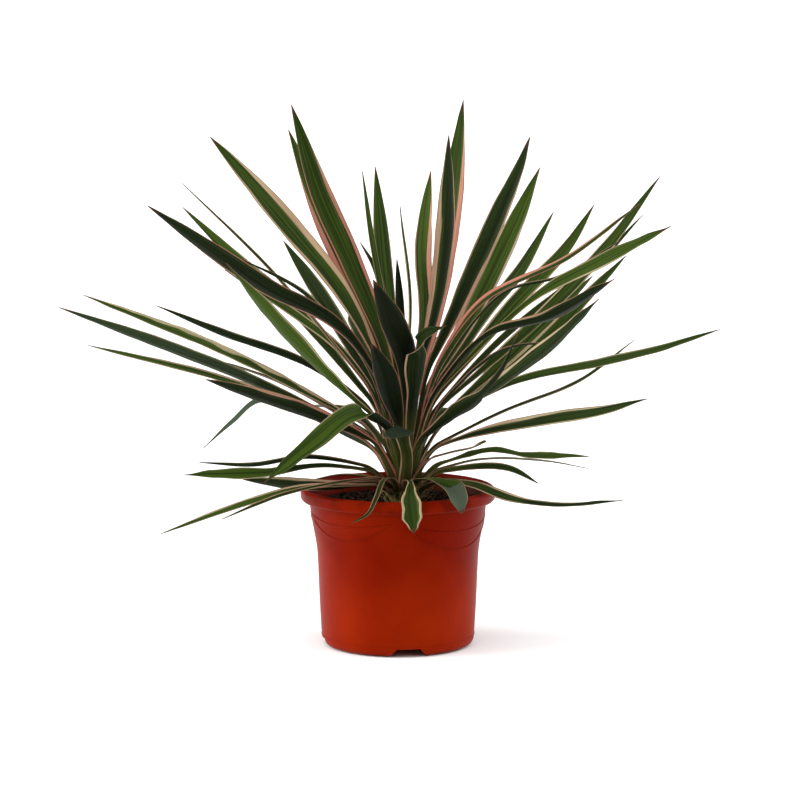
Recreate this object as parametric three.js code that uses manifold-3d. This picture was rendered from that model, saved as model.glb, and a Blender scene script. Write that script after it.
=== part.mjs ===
// A potted yucca gloriosa, the striped garden form, in a 19 cm nursery pot.
// Millimetres, +Z up. The origin is on the pot's axis, on the surface that the pot stands on,
// and the front of the plant looks along -Y.
import * as THREE from 'three';
import { mergeVertices } from 'three/addons/utils/BufferGeometryUtils.js';
import Module from 'manifold-3d';

const wasm = await Module();
wasm.setup();

// Driving dimensions of the pot
const POT_HEIGHT = 155;
const POT_SIDES = 48;
const WALL = 2;
const LIP_HEIGHT = 12.5;
const LIP_RADIUS = 95;
const FOOT_RADIUS = 66;
const FOOT_INNER_RADIUS = 60;
const FOOT_CORNER = 8;
const FOOT_DRAFT = 1.5;
const BASE_LIFT = 7;
const BASE_THICKNESS = 2.5;
const NOTCH_COUNT = 4;
const NOTCH_FIRST_ANGLE = 278;
const NOTCH_WIDTH_LOW = 38;
const NOTCH_WIDTH_HIGH = 23;
const NOTCH_HEIGHT = 6.6;
const NOTCH_FROM_RADIUS = 50;
const NOTCH_TO_RADIUS = 80;
const DRAIN_COUNT = 8;
const DRAIN_RADIUS = 5;
const DRAIN_CIRCLE = 45;

// The outside of the pot wall, as [height, radius]: nearly straight, then a flared shoulder
const WALL_OUTSIDE = [
  [FOOT_CORNER, 74.5], [42, 76.5], [82, 78.2], [92, 78.8], [101, 79.9],
  [111, 81.7], [121, 83.6], [131, 85.2], [142, 86.4],
];

// The rolled lip, as [height above its lower edge, how far inside LIP_RADIUS]
const LIP_OUTSIDE = [
  [0, 2.2], [1.8, 0.6], [6.5, 0], [10.1, 0.5], [12, 2], [LIP_HEIGHT, 3.8], [11.7, 5.6], [9, 6.8],
];

// Heights at which the inside of the wall turns, from the top down, and its corner at the base
const INSIDE_CORNER = 3;
const INSIDE_HEIGHTS = [142, 121, 101, 82, BASE_LIFT + BASE_THICKNESS + INSIDE_CORNER];

// Driving dimensions of the soil and of the crown that the leaves grow from
const GAP = 0.3;
const SOIL_EDGE_HEIGHT = 138;
const SOIL_MOUND = 5;
const SOIL_LUMP = 0.9;
const SOIL_RINGS = [70, 57, 44, 31];
const CROWN_X = 6;
const CROWN_CLEARANCE = 0.42;
const CROWN_SIDES = 24;
const CROWN_FOOT_HEIGHT = 96;
const CROWN_PROFILE = [
  [96, 12], [140, 13.5], [152, 15.5], [170, 16], [190, 15],
  [208, 13.5], [222, 11.5], [234, 8.5], [244, 4.5],
];
const CROWN_TOP = 250;
const CROWN_MIDDLE = 175;

// Driving dimensions shared by all leaves
const LEAF_BASE_LOW = 160;
const LEAF_BASE_HIGH = 242;
const LEAF_BASE_WIDTH = 5.5;
const LEAF_TIP_WIDTH = 0.9;
const LEAF_EDGE = 0.65;
const LEAF_MID_BASE = 1.9;
const LEAF_MID_TIP = 0.9;
const LEAF_FOLD = 17;
const LEAF_STATIONS = 11;
const WIDE_FROM = 0.6;
const TAPER_FROM = 0.68;
const TAPER_POWER = 1.65;
const TURN_DONE = 0.4;
const LEAVES_CROWN_AT = 0.02;

const DEGREE = Math.PI / 180;

const potPlastic = new THREE.MeshStandardMaterial({ color: 0xa82a12, roughness: 0.42, metalness: 0 });
const peat = new THREE.MeshStandardMaterial({ color: 0x2e1a10, roughness: 0.95, metalness: 0 });
const crownSheath = new THREE.MeshStandardMaterial({ color: 0x9a8a55, roughness: 0.7, metalness: 0 });
const leafGreen = new THREE.MeshStandardMaterial({ color: 0x3d5a26, roughness: 0.45, metalness: 0 });

// A three.js geometry as a closed solid: shared corners merged, faces with no area left out
function solid(geometry) {
  const bare = new THREE.BufferGeometry();
  bare.setAttribute('position', geometry.attributes.position.clone());
  if (geometry.index) bare.setIndex(geometry.index.clone());
  const merged = mergeVertices(bare, 1e-4);
  const index = merged.index.array;
  const faces = [];
  for (let i = 0; i < index.length; i += 3) {
    const [a, b, c] = [index[i], index[i + 1], index[i + 2]];
    if (a !== b && b !== c && c !== a) faces.push(a, b, c);
  }
  const vertProperties = new Float32Array(merged.attributes.position.array);
  const triVerts = new Uint32Array(faces);
  return new wasm.Manifold(new wasm.Mesh({ numProp: 3, vertProperties, triVerts }));
}

// A closed solid as a named mesh
function piece(name, body, material) {
  const { numProp, vertProperties, triVerts } = body.getMesh();
  const corners = new Float32Array((vertProperties.length / numProp) * 3);
  for (let i = 0; i < corners.length / 3; i += 1) {
    corners.set(vertProperties.subarray(i * numProp, i * numProp + 3), i * 3);
  }
  const geometry = new THREE.BufferGeometry();
  geometry.setAttribute('position', new THREE.BufferAttribute(corners, 3));
  geometry.setIndex(new THREE.BufferAttribute(new Uint32Array(triVerts), 1));
  geometry.computeVertexNormals();
  const mesh = new THREE.Mesh(geometry, material);
  mesh.name = name;
  return mesh;
}

// A surface of revolution about the vertical axis, from a profile of [height, radius]
function lathe(profile, sides) {
  const points = profile.map(([height, radius]) => new THREE.Vector2(radius, height));
  const geometry = new THREE.LatheGeometry(points, sides);
  geometry.rotateX(90 * DEGREE);
  return geometry;
}

function turned(profile, sides, centreX = 0) {
  const geometry = lathe(profile, sides);
  geometry.translate(centreX, 0, 0);
  return solid(geometry);
}

function outsideRadius(height) {
  for (let i = 1; i < WALL_OUTSIDE.length; i += 1) {
    const [h0, r0] = WALL_OUTSIDE[i - 1];
    const [h1, r1] = WALL_OUTSIDE[i];
    if (height <= h1) return r0 + ((r1 - r0) * (height - h0)) / (h1 - h0);
  }
  return WALL_OUTSIDE[WALL_OUTSIDE.length - 1][1];
}

function pot() {
  const base = BASE_LIFT + BASE_THICKNESS;
  const lipFoot = POT_HEIGHT - LIP_HEIGHT;
  const footCorner = [0, 30, 60].map((angle) => [
    FOOT_CORNER * (1 - Math.cos(angle * DEGREE)),
    FOOT_RADIUS + (WALL_OUTSIDE[0][1] - FOOT_RADIUS) * Math.sin(angle * DEGREE),
  ]);
  const lip = LIP_OUTSIDE.map(([height, inset]) => [lipFoot + height, LIP_RADIUS - inset]);
  const inside = INSIDE_HEIGHTS.map((height) => [height, outsideRadius(height) - WALL]);
  const profile = [
    [BASE_LIFT, 0],
    [BASE_LIFT, FOOT_INNER_RADIUS - FOOT_DRAFT],
    [0, FOOT_INNER_RADIUS],
    ...footCorner,
    ...WALL_OUTSIDE,
    ...lip,
    ...inside,
    [base, outsideRadius(base) - WALL - INSIDE_CORNER],
    [base, 0],
  ];
  let body = turned(profile, POT_SIDES);
  for (let i = 0; i < NOTCH_COUNT; i += 1) {
    body = body.subtract(notch(NOTCH_FIRST_ANGLE + (i * 360) / NOTCH_COUNT));
  }
  for (let i = 0; i < DRAIN_COUNT; i += 1) {
    body = body.subtract(drain(((i + 0.5) * 360) / DRAIN_COUNT));
  }
  return body;
}

// The tapered opening under the foot that lets water out, as a block that lies along a radius
function notch(angle) {
  const outline = new THREE.Shape();
  outline.moveTo(-NOTCH_WIDTH_LOW / 2, -1);
  outline.lineTo(NOTCH_WIDTH_LOW / 2, -1);
  outline.lineTo(NOTCH_WIDTH_HIGH / 2, NOTCH_HEIGHT);
  outline.lineTo(-NOTCH_WIDTH_HIGH / 2, NOTCH_HEIGHT);
  const depth = NOTCH_TO_RADIUS - NOTCH_FROM_RADIUS;
  const block = new THREE.ExtrudeGeometry(outline, { depth, bevelEnabled: false });
  block.rotateX(90 * DEGREE);
  block.translate(0, -NOTCH_FROM_RADIUS, 0);
  block.rotateZ((angle - 270) * DEGREE);
  return solid(block);
}

function drain(angle) {
  const hole = new THREE.CylinderGeometry(DRAIN_RADIUS, DRAIN_RADIUS, 3 * BASE_THICKNESS, 12);
  hole.rotateX(90 * DEGREE);
  hole.translate(DRAIN_CIRCLE * Math.cos(angle * DEGREE), DRAIN_CIRCLE * Math.sin(angle * DEGREE),
    BASE_LIFT + BASE_THICKNESS / 2);
  return solid(hole);
}

// The soil fills the pot to below the lip and rises a little to the crown, with an uneven top.
// The crown stands in a plain hole in it.
function soil() {
  const base = BASE_LIFT + BASE_THICKNESS + GAP;
  const fill = (height) => outsideRadius(height) - WALL - 1.2 * GAP;
  const edge = fill(SOIL_EDGE_HEIGHT);
  const heights = [base + INSIDE_CORNER + GAP, 82, 101, 121, SOIL_EDGE_HEIGHT];
  const profile = [
    [base, 0],
    [base, fill(base) - INSIDE_CORNER - GAP],
    ...heights.map((height) => [height, fill(height)]),
    ...SOIL_RINGS.map((radius) => [SOIL_EDGE_HEIGHT + SOIL_MOUND * (1 - radius / edge), radius]),
    [SOIL_EDGE_HEIGHT + SOIL_MOUND, 0],
  ];
  const geometry = lathe(profile, POT_SIDES);
  const corners = geometry.attributes.position;
  for (let i = 0; i < corners.count; i += 1) {
    const [x, y, z] = [corners.getX(i), corners.getY(i), corners.getZ(i)];
    const onTop = z > SOIL_EDGE_HEIGHT + 0.1;
    const onAxis = Math.hypot(x, y) < 1;
    if (onTop && !onAxis) corners.setZ(i, z + SOIL_LUMP * lumps(x, y));
  }
  return solid(geometry).subtract(crownSpace);
}

// Two crossing waves, 30 and 40 mm long, that make the soil's top uneven
function lumps(x, y) {
  return Math.sin(x * 0.19 + 2.1) * Math.cos(y * 0.23 - 0.7) + Math.sin(x * 0.07 - y * 0.31);
}

function crownCore() {
  return turned([[CROWN_FOOT_HEIGHT, 0], ...CROWN_PROFILE, [CROWN_TOP, 0]], CROWN_SIDES, CROWN_X);
}

// The space that the soil and the leaves leave free for the crown
const crownSpace = turned([
  [CROWN_FOOT_HEIGHT - GAP, 0],
  [CROWN_FOOT_HEIGHT - GAP, CROWN_PROFILE[0][1] + CROWN_CLEARANCE],
  ...CROWN_PROFILE.slice(1).map(([height, radius]) => [height, radius + CROWN_CLEARANCE]),
  [CROWN_TOP + CROWN_CLEARANCE, 0],
], CROWN_SIDES, CROWN_X);

function smooth(t) {
  const s = Math.min(1, Math.max(0, t));
  return s * s * (3 - 2 * s);
}

// Half the width of a blade at a share s of its length: narrow at the crown, widest past its middle
function halfWidth(width, s) {
  const growing = LEAF_BASE_WIDTH + (width - LEAF_BASE_WIDTH) * smooth(s / WIDE_FROM);
  if (s < TAPER_FROM) return growing / 2;
  const taper = 1 - ((s - TAPER_FROM) / (1 - TAPER_FROM)) ** TAPER_POWER;
  return (LEAF_TIP_WIDTH + (width - LEAF_TIP_WIDTH) * taper) / 2;
}

// The middle line of a leaf: from the crown's axis through its own points.
// Steep leaves leave the crown higher than flat ones, so they nest one above the other.
function spine(points, lift) {
  const [x, y, z] = points[0];
  const rise = Math.atan2(z - CROWN_MIDDLE, Math.hypot(x - CROWN_X, y)) / (90 * DEGREE);
  const height = LEAF_BASE_LOW + (LEAF_BASE_HIGH - LEAF_BASE_LOW) * Math.max(0, rise) + lift;
  const base = new THREE.Vector3(CROWN_X, 0, height);
  return new THREE.CatmullRomCurve3([base, ...points.map((p) => new THREE.Vector3(...p))]);
}

// One blade: a shallow channel with thin edges and a thicker middle, six corners to a section.
// Its upper face looks up at the crown. Further out it has turned by `turn` degrees, which shows
// more of the upper face from the front where it is positive, and more of the underside where not.
function blade({ width, turn, lift, points }) {
  const line = spine(points, lift);
  const middles = line.getSpacedPoints(LEAF_STATIONS - 1);
  const start = line.getTangentAt(LEAVES_CROWN_AT);
  const sense = points[points.length - 1][0] < CROWN_X ? 1 : -1;
  let side = new THREE.Vector3(-start.y, start.x, 0).normalize();
  const corners = [];
  middles.forEach((middle, i) => {
    const s = i / (LEAF_STATIONS - 1);
    const along = line.getTangentAt(s);
    side = side.clone().addScaledVector(along, -side.dot(along)).normalize();
    const angle = -sense * turn * smooth(s / TURN_DONE) * DEGREE;
    const across = side.clone().applyAxisAngle(along, angle);
    const up = new THREE.Vector3().crossVectors(along, across);
    const half = halfWidth(width, s);
    const reach = half * Math.cos(LEAF_FOLD * DEGREE);
    const rise = half * Math.sin(LEAF_FOLD * DEGREE);
    const edge = LEAF_EDGE / 2;
    const mid = (LEAF_MID_BASE + (LEAF_MID_TIP - LEAF_MID_BASE) * s) / 2;
    const section = [
      [-reach, rise + edge], [0, mid], [reach, rise + edge],
      [reach, rise - edge], [0, -mid], [-reach, rise - edge],
    ];
    section.forEach(([a, b]) => {
      corners.push(middle.clone().addScaledVector(across, a).addScaledVector(up, b));
    });
  });
  return skin(corners);
}

// Joins the six-cornered sections into one closed skin. Of the strips between them, 0 and 1 are the
// upper face and 3 and 4 the lower one, and each pair above one another is split along one diagonal.
function skin(corners) {
  const faces = [];
  const splitOtherWay = [false, true, false, false, true, false];
  for (let i = 0; i < LEAF_STATIONS - 1; i += 1) {
    for (let j = 0; j < 6; j += 1) {
      const a = i * 6 + j;
      const b = i * 6 + ((j + 1) % 6);
      const c = b + 6;
      const d = a + 6;
      if (splitOtherWay[j]) faces.push(a, d, b, b, d, c);
      else faces.push(a, c, b, a, d, c);
    }
  }
  const last = (LEAF_STATIONS - 1) * 6;
  faces.push(0, 1, 5, 1, 4, 5, 1, 2, 4, 2, 3, 4);
  faces.push(last + 5, last + 1, last, last + 5, last + 4, last + 1);
  faces.push(last + 4, last + 2, last + 1, last + 4, last + 3, last + 2);
  const geometry = new THREE.BufferGeometry();
  const flat = corners.flatMap((corner) => corner.toArray());
  geometry.setAttribute('position', new THREE.BufferAttribute(new Float32Array(flat), 3));
  geometry.setIndex(faces);
  return solid(geometry);
}

// The leaves, read off the plant one by one: blade width, turn of the blade in degrees, how much
// higher it leaves the crown than the rule says, and the points that its middle line passes through.
// The last point is its tip.
const leaf = (name, width, turn, lift, ...points) => ({ name, width, turn, lift, points });
const youngLeaf = (width, turn, lift, ...points) => ({ width, turn, lift, points });

const LEAVES = [
  leaf('leaf_01', 17, -45, 2, [-152, -38, 268], [-321, -75, 339]),
  leaf('leaf_02', 14, 35, 5, [-153, 30, 275], [-310, 60, 336]),
  leaf('leaf_03', 13, 25, -3, [-142, -10, 251], [-299, -20, 296]),
  leaf('leaf_04', 15, -35, 4, [-84, -23, 275], [-169, -45, 310], [-230, -60, 339]),
  leaf('leaf_05', 9, -5, 0, [-115, 57, 248], [-206, 100, 273]),
  leaf('leaf_06', 26, 30, 3, [-51, 41, 333], [-106, 81, 398], [-188, 140, 486]),
  leaf('leaf_07', 21, -45, 3, [-54, -38, 313], [-129, -85, 361], [-231, -150, 442]),
  leaf('leaf_08', 16, 25, -3, [-106, 85, 321], [-162, 127, 364], [-218, 170, 413]),
  leaf('leaf_09', 8, 10, -2, [-114, 18, 353], [-210, 35, 448]),
  leaf('leaf_10', 10, -30, -1, [-84, -4, 338], [-152, -8, 379]),
  leaf('leaf_11', 18, 20, 2, [-67, 118, 311], [-117, 200, 376]),
  leaf('leaf_12', 19, -20, 3, [-54, -100, 266], [-98, -172, 322], [-153, -262, 400]),
  leaf('leaf_13', 25, 15, -4, [-17, 50, 297], [-48, 85, 368], [-79, 100, 437], [-106, 115, 520]),
  leaf('leaf_14', 23, 15, -2, [-32, 90, 318], [-67, 130, 385], [-111, 180, 491]),
  leaf('leaf_15', 18, 0, 0, [-12, 100, 336], [-23, 170, 454]),
  leaf('leaf_16', 27, 0, 2, [8, -50, 281], [-6, -95, 328], [-23, -120, 370]),
  leaf('leaf_17', 25, 0, 0, [-5, -55, 242], [-14, -88, 279], [-25, -110, 309]),
  leaf('leaf_18', 26, 0, -3, [37, 55, 312], [54, 90, 412], [65, 120, 524]),
  leaf('leaf_19', 24, 0, 4, [37, -40, 333], [47.5, -60, 417], [48, -75, 502]),
  leaf('leaf_20', 26, 0, 4, [29, 20, 315], [28, 25, 381], [32, 35, 460]),
  leaf('leaf_21', 24, -32, 0, [55, -27, 325], [92, -60, 413], [113, -78, 466], [124, -90, 502]),
  leaf('leaf_22', 24, 20, 3, [72, 77, 311], [113, 125, 389], [143, 160, 454]),
  leaf('leaf_23', 15, 20, 0, [85, 118, 306], [125, 177, 348], [160, 230, 403]),
  leaf('leaf_24', 19, 25, -1, [111, 66, 320], [167, 101, 376], [196, 120, 420]),
  leaf('leaf_25', 17, 35, 0, [145, 33, 321], [204, 47, 382], [257, 60, 453]),
  leaf('leaf_26', 15, 25, 0, [80, -10, 334], [166, -21, 381], [232, -30, 434]),
  leaf('leaf_27', 10, 20, -3, [98, 84, 284], [203, 165, 358], [250, 205, 402]),
  leaf('leaf_28', 16, 60, 5, [127, -46, 342], [192, -78, 382], [255, -108, 419]),
  leaf('leaf_29', 10, -15, 2, [100, 2, 342], [158, 4, 360], [217, 6, 396]),
  leaf('leaf_30', 20, -30, -5, [79, -64, 307], [143, -121, 335], [199, -170, 376]),
  leaf('leaf_31', 19, -30, 3, [97, -115, 273], [137, -165, 311], [182, -225, 364]),
  leaf('leaf_32', 18, 25, -2, [103, 100, 259], [144, 143, 293], [199, 200, 340]),
  leaf('leaf_33', 17, 30, 4, [112, 71, 260], [157, 102, 296], [230, 150, 366]),
  leaf('leaf_34', 9, -15, -8, [99, -22, 290], [155, -34, 301]),
  leaf('leaf_35', 21, -20, -4, [46, -75, 231], [73, -125, 258], [96, -150, 289], [111, -155, 324]),
  leaf('leaf_36', 15, 25, -6, [101, 28, 248], [200, 60, 267], [260, 80, 279], [321, 100, 297]),
  leaf('leaf_37', 9, 0, 0, [102, 62, 218], [183, 114, 243], [239, 150, 280]),
  leaf('leaf_38', 17, 45, 0, [80, -39, 213], [146, -74, 231], [192, -98, 242], [234, -120, 258]),
  leaf('leaf_39', 13, 20, 0, [51, -50, 196], [70, -80, 205], [83, -100, 214]),
  leaf('leaf_40', 12, 20, 0, [57, 17, 179], [91, 28, 185], [131, 41, 178], [189, 60, 175]),
  leaf('leaf_41', 11, 30, 0, [71, -25, 177], [107, -39, 178], [135, -50, 166]),
  leaf('leaf_42', 13, 30, 0, [70, -41, 163], [108, -65, 153], [155, -94, 152], [211, -130, 163]),
  leaf('leaf_43', 15, 0, -2, [27, -50, 170], [41, -80, 171], [53, -99, 165], [60, -107, 147]),
  leaf('leaf_44', 21, 0, 3, [11, -60, 169], [12, -95, 173], [12, -118, 161], [15, -126, 131]),
  leaf('leaf_45', 5.5, 0, -2, [-13, -60, 171], [-21, -96, 158], [-28, -104, 146], [-44, -106, 137]),
  leaf('leaf_46', 16, 0, 0, [8, -42, 195], [0, -58, 222], [-2, -64, 224], [3, -84, 216]),
  leaf('leaf_47', 20, 0, -6, [-16, -65, 228], [-44, -110, 242], [-81, -140, 218], [-125, -150, 183]),
  leaf('leaf_48', 12, 70, 0, [-134, 85, 228.5], [-165, 98, 204.5], [-195, 110, 176]),
  leaf('leaf_49', 18, -50, -3, [-73, -60, 231], [-179, -140, 279]),
  leaf('leaf_50', 11, -35, 0, [-84, -27, 187], [-140, -44, 182], [-190, -60, 188]),
  leaf('leaf_51', 15, 45, 0, [-74, -43, 182], [-130, -73, 179], [-201, -110, 184]),
  leaf('leaf_52', 15, -60, 0, [-73, -62, 165], [-145, -125, 182]),
  leaf('leaf_53', 10, 25, -5, [-91, -98, 169], [-146, -140, 160], [-219, -185, 141]),
  leaf('leaf_54', 21, 0, -12, [14, -33, 242], [18, -67, 287], [25, -84, 313], [46, -86, 323]),
  leaf('leaf_55', 20, 0, 0, [-34, 120, 281], [-50, 262, 295]),
  leaf('leaf_56', 20, 0, 0, [28, 130, 274], [43, 262, 269]),
  leaf('leaf_57', 18, 0, 0, [-24, 130, 223], [-21, 250, 201]),
];

// Young and small leaves that are still joined to the crown
const SMALL_LEAVES = [
  youngLeaf(8, 0, 0, [-26, 40, 392], [-35, 60, 458]),
  youngLeaf(8, 0, 0, [13, 4, 337], [2, 10, 429]),
  youngLeaf(9, 0, 0, [3, -20, 311], [-1, -40, 382]),
  youngLeaf(9, 0, 0, [-21, 35, 359], [-37, 50, 389]),
  youngLeaf(14, 20, -8, [-56, 30, 283], [-95, 54, 311], [-172, 95, 357]),
  youngLeaf(6, 0, 0, [80, 58, 172], [148, 100, 164], [192, 130, 152]),
  youngLeaf(6, 0, 0, [-52, 20, 163], [-84, 22, 158]),
  youngLeaf(8, 10, 5, [-50, -72, 171], [-107, -130, 168], [-163, -175, 153]),
  youngLeaf(16, 0, 0, [45, 100, 212], [68, 205, 197]),
  youngLeaf(16, 0, 0, [-48, 100, 212], [-98, 190, 208]),
];

function crown() {
  return SMALL_LEAVES.reduce((body, young) => body.add(blade(young)), crownCore());
}

const plant = new THREE.Group();
plant.add(piece('pot', pot(), potPlastic));
plant.add(piece('soil', soil(), peat));
plant.add(piece('crown', crown(), crownSheath));
LEAVES.forEach((row) => {
  plant.add(piece(row.name, blade(row).subtract(crownSpace), leafGreen));
});

export default plant;
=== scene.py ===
# %% [markdown]
# # A potted striped yucca
#
# A young Yucca gloriosa in a nursery pot: a rosette of stiff, channelled leaves with cream and pink
# margins on a short stem, rooted in peat. The measured solids come in as a fixed frame. Finer pieces
# are laid over them here, every surface gets its finish, and a plain studio stands round the plant.
# All sizes are in metres, +Z is up, and the front of the plant looks along -Y.

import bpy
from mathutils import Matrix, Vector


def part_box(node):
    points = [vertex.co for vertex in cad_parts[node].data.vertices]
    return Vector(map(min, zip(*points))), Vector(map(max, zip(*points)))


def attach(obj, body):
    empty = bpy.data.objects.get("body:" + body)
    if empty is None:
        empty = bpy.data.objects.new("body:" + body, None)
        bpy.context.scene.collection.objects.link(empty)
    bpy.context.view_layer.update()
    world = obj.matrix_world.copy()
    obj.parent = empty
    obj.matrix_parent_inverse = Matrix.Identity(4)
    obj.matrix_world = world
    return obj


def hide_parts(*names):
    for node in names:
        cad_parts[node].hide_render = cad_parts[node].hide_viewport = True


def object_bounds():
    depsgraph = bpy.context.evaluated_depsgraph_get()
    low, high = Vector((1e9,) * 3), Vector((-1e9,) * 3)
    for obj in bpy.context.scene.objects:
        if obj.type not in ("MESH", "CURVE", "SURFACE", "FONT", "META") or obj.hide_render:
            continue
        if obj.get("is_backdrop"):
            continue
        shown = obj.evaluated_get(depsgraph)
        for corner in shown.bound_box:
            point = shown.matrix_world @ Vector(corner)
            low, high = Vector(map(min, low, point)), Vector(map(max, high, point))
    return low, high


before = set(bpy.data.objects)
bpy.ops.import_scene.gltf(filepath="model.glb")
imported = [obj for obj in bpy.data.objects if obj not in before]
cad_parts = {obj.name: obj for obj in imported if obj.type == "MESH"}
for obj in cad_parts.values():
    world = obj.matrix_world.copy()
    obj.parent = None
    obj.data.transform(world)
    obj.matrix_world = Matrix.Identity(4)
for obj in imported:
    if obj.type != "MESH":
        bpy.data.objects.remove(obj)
solid_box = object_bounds()
print("solids", len(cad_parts), "box", [round(v, 3) for corner in solid_box for v in corner])

# %% Modules and a clean selection
import math
import random

import bpy
from mathutils import Matrix, Vector, noise


def start_fresh():
    """Leaves edit mode and selects nothing, so that the next operator meets only its own piece."""
    if bpy.context.object and bpy.context.object.mode != "OBJECT":
        bpy.ops.object.mode_set(mode="OBJECT")
    bpy.ops.object.select_all(action="DESELECT")


def pick(*pieces):
    """Selects these pieces and nothing else, the first one active."""
    start_fresh()
    for piece in pieces:
        piece.select_set(True)
    bpy.context.view_layer.objects.active = pieces[0]


start_fresh()
print("selected", len(bpy.context.selected_objects))

# %% [markdown]
# ## Camera
#
# The plant is seen from a few metres away with a long lens, looking down by 8 degrees: the far rim
# of the pot shows just above the near one. A camera this far away keeps leaves that reach towards
# it from looking swollen. The distance, the tilt and the lens follow from the shape of the rim.

# %% Place the camera
LOOK_AT = Vector((0.002, 0, 0.240))
CAMERA_DISTANCE = 3.5
CAMERA_TILT = math.radians(8)
FOCAL_LENGTH_MM = 162.2

back = Vector((0, -math.cos(CAMERA_TILT), math.sin(CAMERA_TILT)))
bpy.ops.object.camera_add(
    location=LOOK_AT + CAMERA_DISTANCE * back,
    rotation=(math.pi / 2 - CAMERA_TILT, 0, 0),
)
camera = bpy.context.object
camera.name = "camera"
camera.data.lens = FOCAL_LENGTH_MM
camera.data.sensor_width = 36
camera.data.clip_end = 200
bpy.context.scene.camera = camera
print("camera at", [round(v, 3) for v in camera.location])

# %% [markdown]
# ## Light and floor
#
# The pot is bright at its left side, a little less at its right one, and dark in the middle, so two
# large soft lights stand left and right of the plant, and a third one hangs above it for the upper
# faces of the leaves. Nothing shines from the front: leaves that reach towards the camera stay dark.
# Sun lamps with a wide disc light the whole floor evenly, so it stays nearly white up to the horizon.

# %% Floor, sky and lights
FLOOR_SIDE = 120
SKY_STRENGTH = 0.22

start_fresh()
bpy.ops.mesh.primitive_plane_add(size=FLOOR_SIDE)
floor = bpy.context.object
floor.name = "studio_floor"
floor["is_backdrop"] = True

world = bpy.data.worlds.new("studio_sky")
world.use_nodes = True
world.node_tree.nodes["Background"].inputs["Color"].default_value = (1, 1, 1, 1)
world.node_tree.nodes["Background"].inputs["Strength"].default_value = SKY_STRENGTH
bpy.context.scene.world = world
bpy.context.scene.view_settings.view_transform = "Standard"


def soft_sun(name, bearing, height, strength, spread):
    """A lamp with a wide disc. Its bearing is 0 from the front and 90 from the right, in degrees."""
    start_fresh()
    bearing, height = math.radians(bearing), math.radians(height)
    towards = Vector((
        math.sin(bearing) * math.cos(height),
        -math.cos(bearing) * math.cos(height),
        math.sin(height),
    ))
    bpy.ops.object.light_add(type="SUN", rotation=towards.to_track_quat("Z", "Y").to_euler())
    lamp = bpy.context.object
    lamp.name = name
    lamp.data.energy = strength
    lamp.data.angle = math.radians(spread)


soft_sun("key_light", bearing=-86, height=17, strength=3.7, spread=50)
soft_sun("side_light", bearing=96, height=15, strength=2.0, spread=50)
soft_sun("top_light", bearing=-10, height=75, strength=3.4, spread=110)

# %% [markdown]
# ## Writing finishes as arithmetic
#
# A finish is a tree of shader nodes. Written out link by link, a small formula fills a page, so one
# class wraps a socket and lets it be added, multiplied and compared like a number, and another one
# holds the material and adds any other node in one line. Colours are mixed with Mix nodes, because
# a Math node would turn them grey.

# %% Shader sockets as values
class Value:
    """A socket of a finish, with the arithmetic that the formulas below use."""

    def __init__(self, finish, socket):
        self.finish = finish
        self.socket = socket

    def maths(self, operation, *values, clamp=False):
        settings = {"operation": operation, "use_clamp": clamp}
        return self.finish.node("Math", settings, dict(enumerate(values)))

    def __add__(self, other):
        return self.maths("ADD", self, other)

    def __radd__(self, other):
        return self.maths("ADD", other, self)

    def __sub__(self, other):
        return self.maths("SUBTRACT", self, other)

    def __rsub__(self, other):
        return self.maths("SUBTRACT", other, self)

    def __mul__(self, other):
        return self.maths("MULTIPLY", self, other)

    def __rmul__(self, other):
        return self.maths("MULTIPLY", other, self)

    def __abs__(self):
        return self.maths("ABSOLUTE", self)

    def clamped(self):
        return self.maths("MULTIPLY", self, 1, clamp=True)

    def sine(self):
        return self.maths("SINE", self)

    def step(self, low, high):
        """0 below low and 1 above high, or the other way round where low is the larger one."""
        ends = {"From Min": low, "From Max": high, "Value": self}
        return self.finish.node("MapRange", {"interpolation_type": "SMOOTHSTEP"}, ends)


# %% Finishes
class Finish:
    """A material: constants go straight to its shader, and what varies is linked to it later."""

    def __init__(self, name, **constants):
        self.material = bpy.data.materials.new(name)
        self.material.use_nodes = True
        self.nodes = self.material.node_tree.nodes
        self.links = self.material.node_tree.links
        self.shader = self.nodes["Principled BSDF"]
        for socket, value in constants.items():
            self.shader.inputs[socket.replace("_", " ")].default_value = value

    def node(self, kind, settings=None, values=None, output=0):
        """Adds a node of this kind, set up first and then given its values or links."""
        made = self.nodes.new("ShaderNode" + kind)
        for name, setting in (settings or {}).items():
            setattr(made, name, setting)
        for socket, value in (values or {}).items():
            self.feed(made.inputs[socket], value)
        return Value(self, made.outputs[output])

    def feed(self, socket, value):
        if isinstance(value, Value):
            self.links.new(value.socket, socket)
        else:
            socket.default_value = value

    def place(self):
        """Where a point lies on the piece, in metres."""
        return self.node("TexCoord", output="Object")

    def attribute(self, name):
        return self.node("Attribute", {"attribute_name": name}, output="Fac")

    def vector(self, x, y, z):
        return self.node("CombineXYZ", values={0: x, 1: y, 2: z})

    def parts(self, vector):
        """A vector's x, y and z."""
        split = self.node("SeparateXYZ", values={0: vector}).socket.node
        return [Value(self, output) for output in split.outputs]

    def noise(self, vector, scale, detail=2.0, roughness=0.5):
        values = {"Vector": vector, "Scale": scale, "Detail": detail, "Roughness": roughness}
        return self.node("TexNoise", values=values)

    def mix(self, share, first, second):
        """Two colours mixed by a share from 0, all first, to 1, all second."""
        colours = [c if isinstance(c, Value) else (*c, 1) for c in (first, second)]
        return self.node("Mix", {"data_type": "RGBA"}, {0: share, 6: colours[0], 7: colours[1]}, 2)

    def wear(self, **sockets):
        """Links what varies over the surface to the shader."""
        for name, value in sockets.items():
            self.feed(self.shader.inputs[name.replace("_", " ")], value)

    def bump(self, height, depth, strength=1.0):
        values = {"Height": height, "Distance": depth, "Strength": strength}
        self.wear(Normal=self.node("Bump", values=values))


print("finishes are written with", Finish.__name__, "and", Value.__name__)

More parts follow.
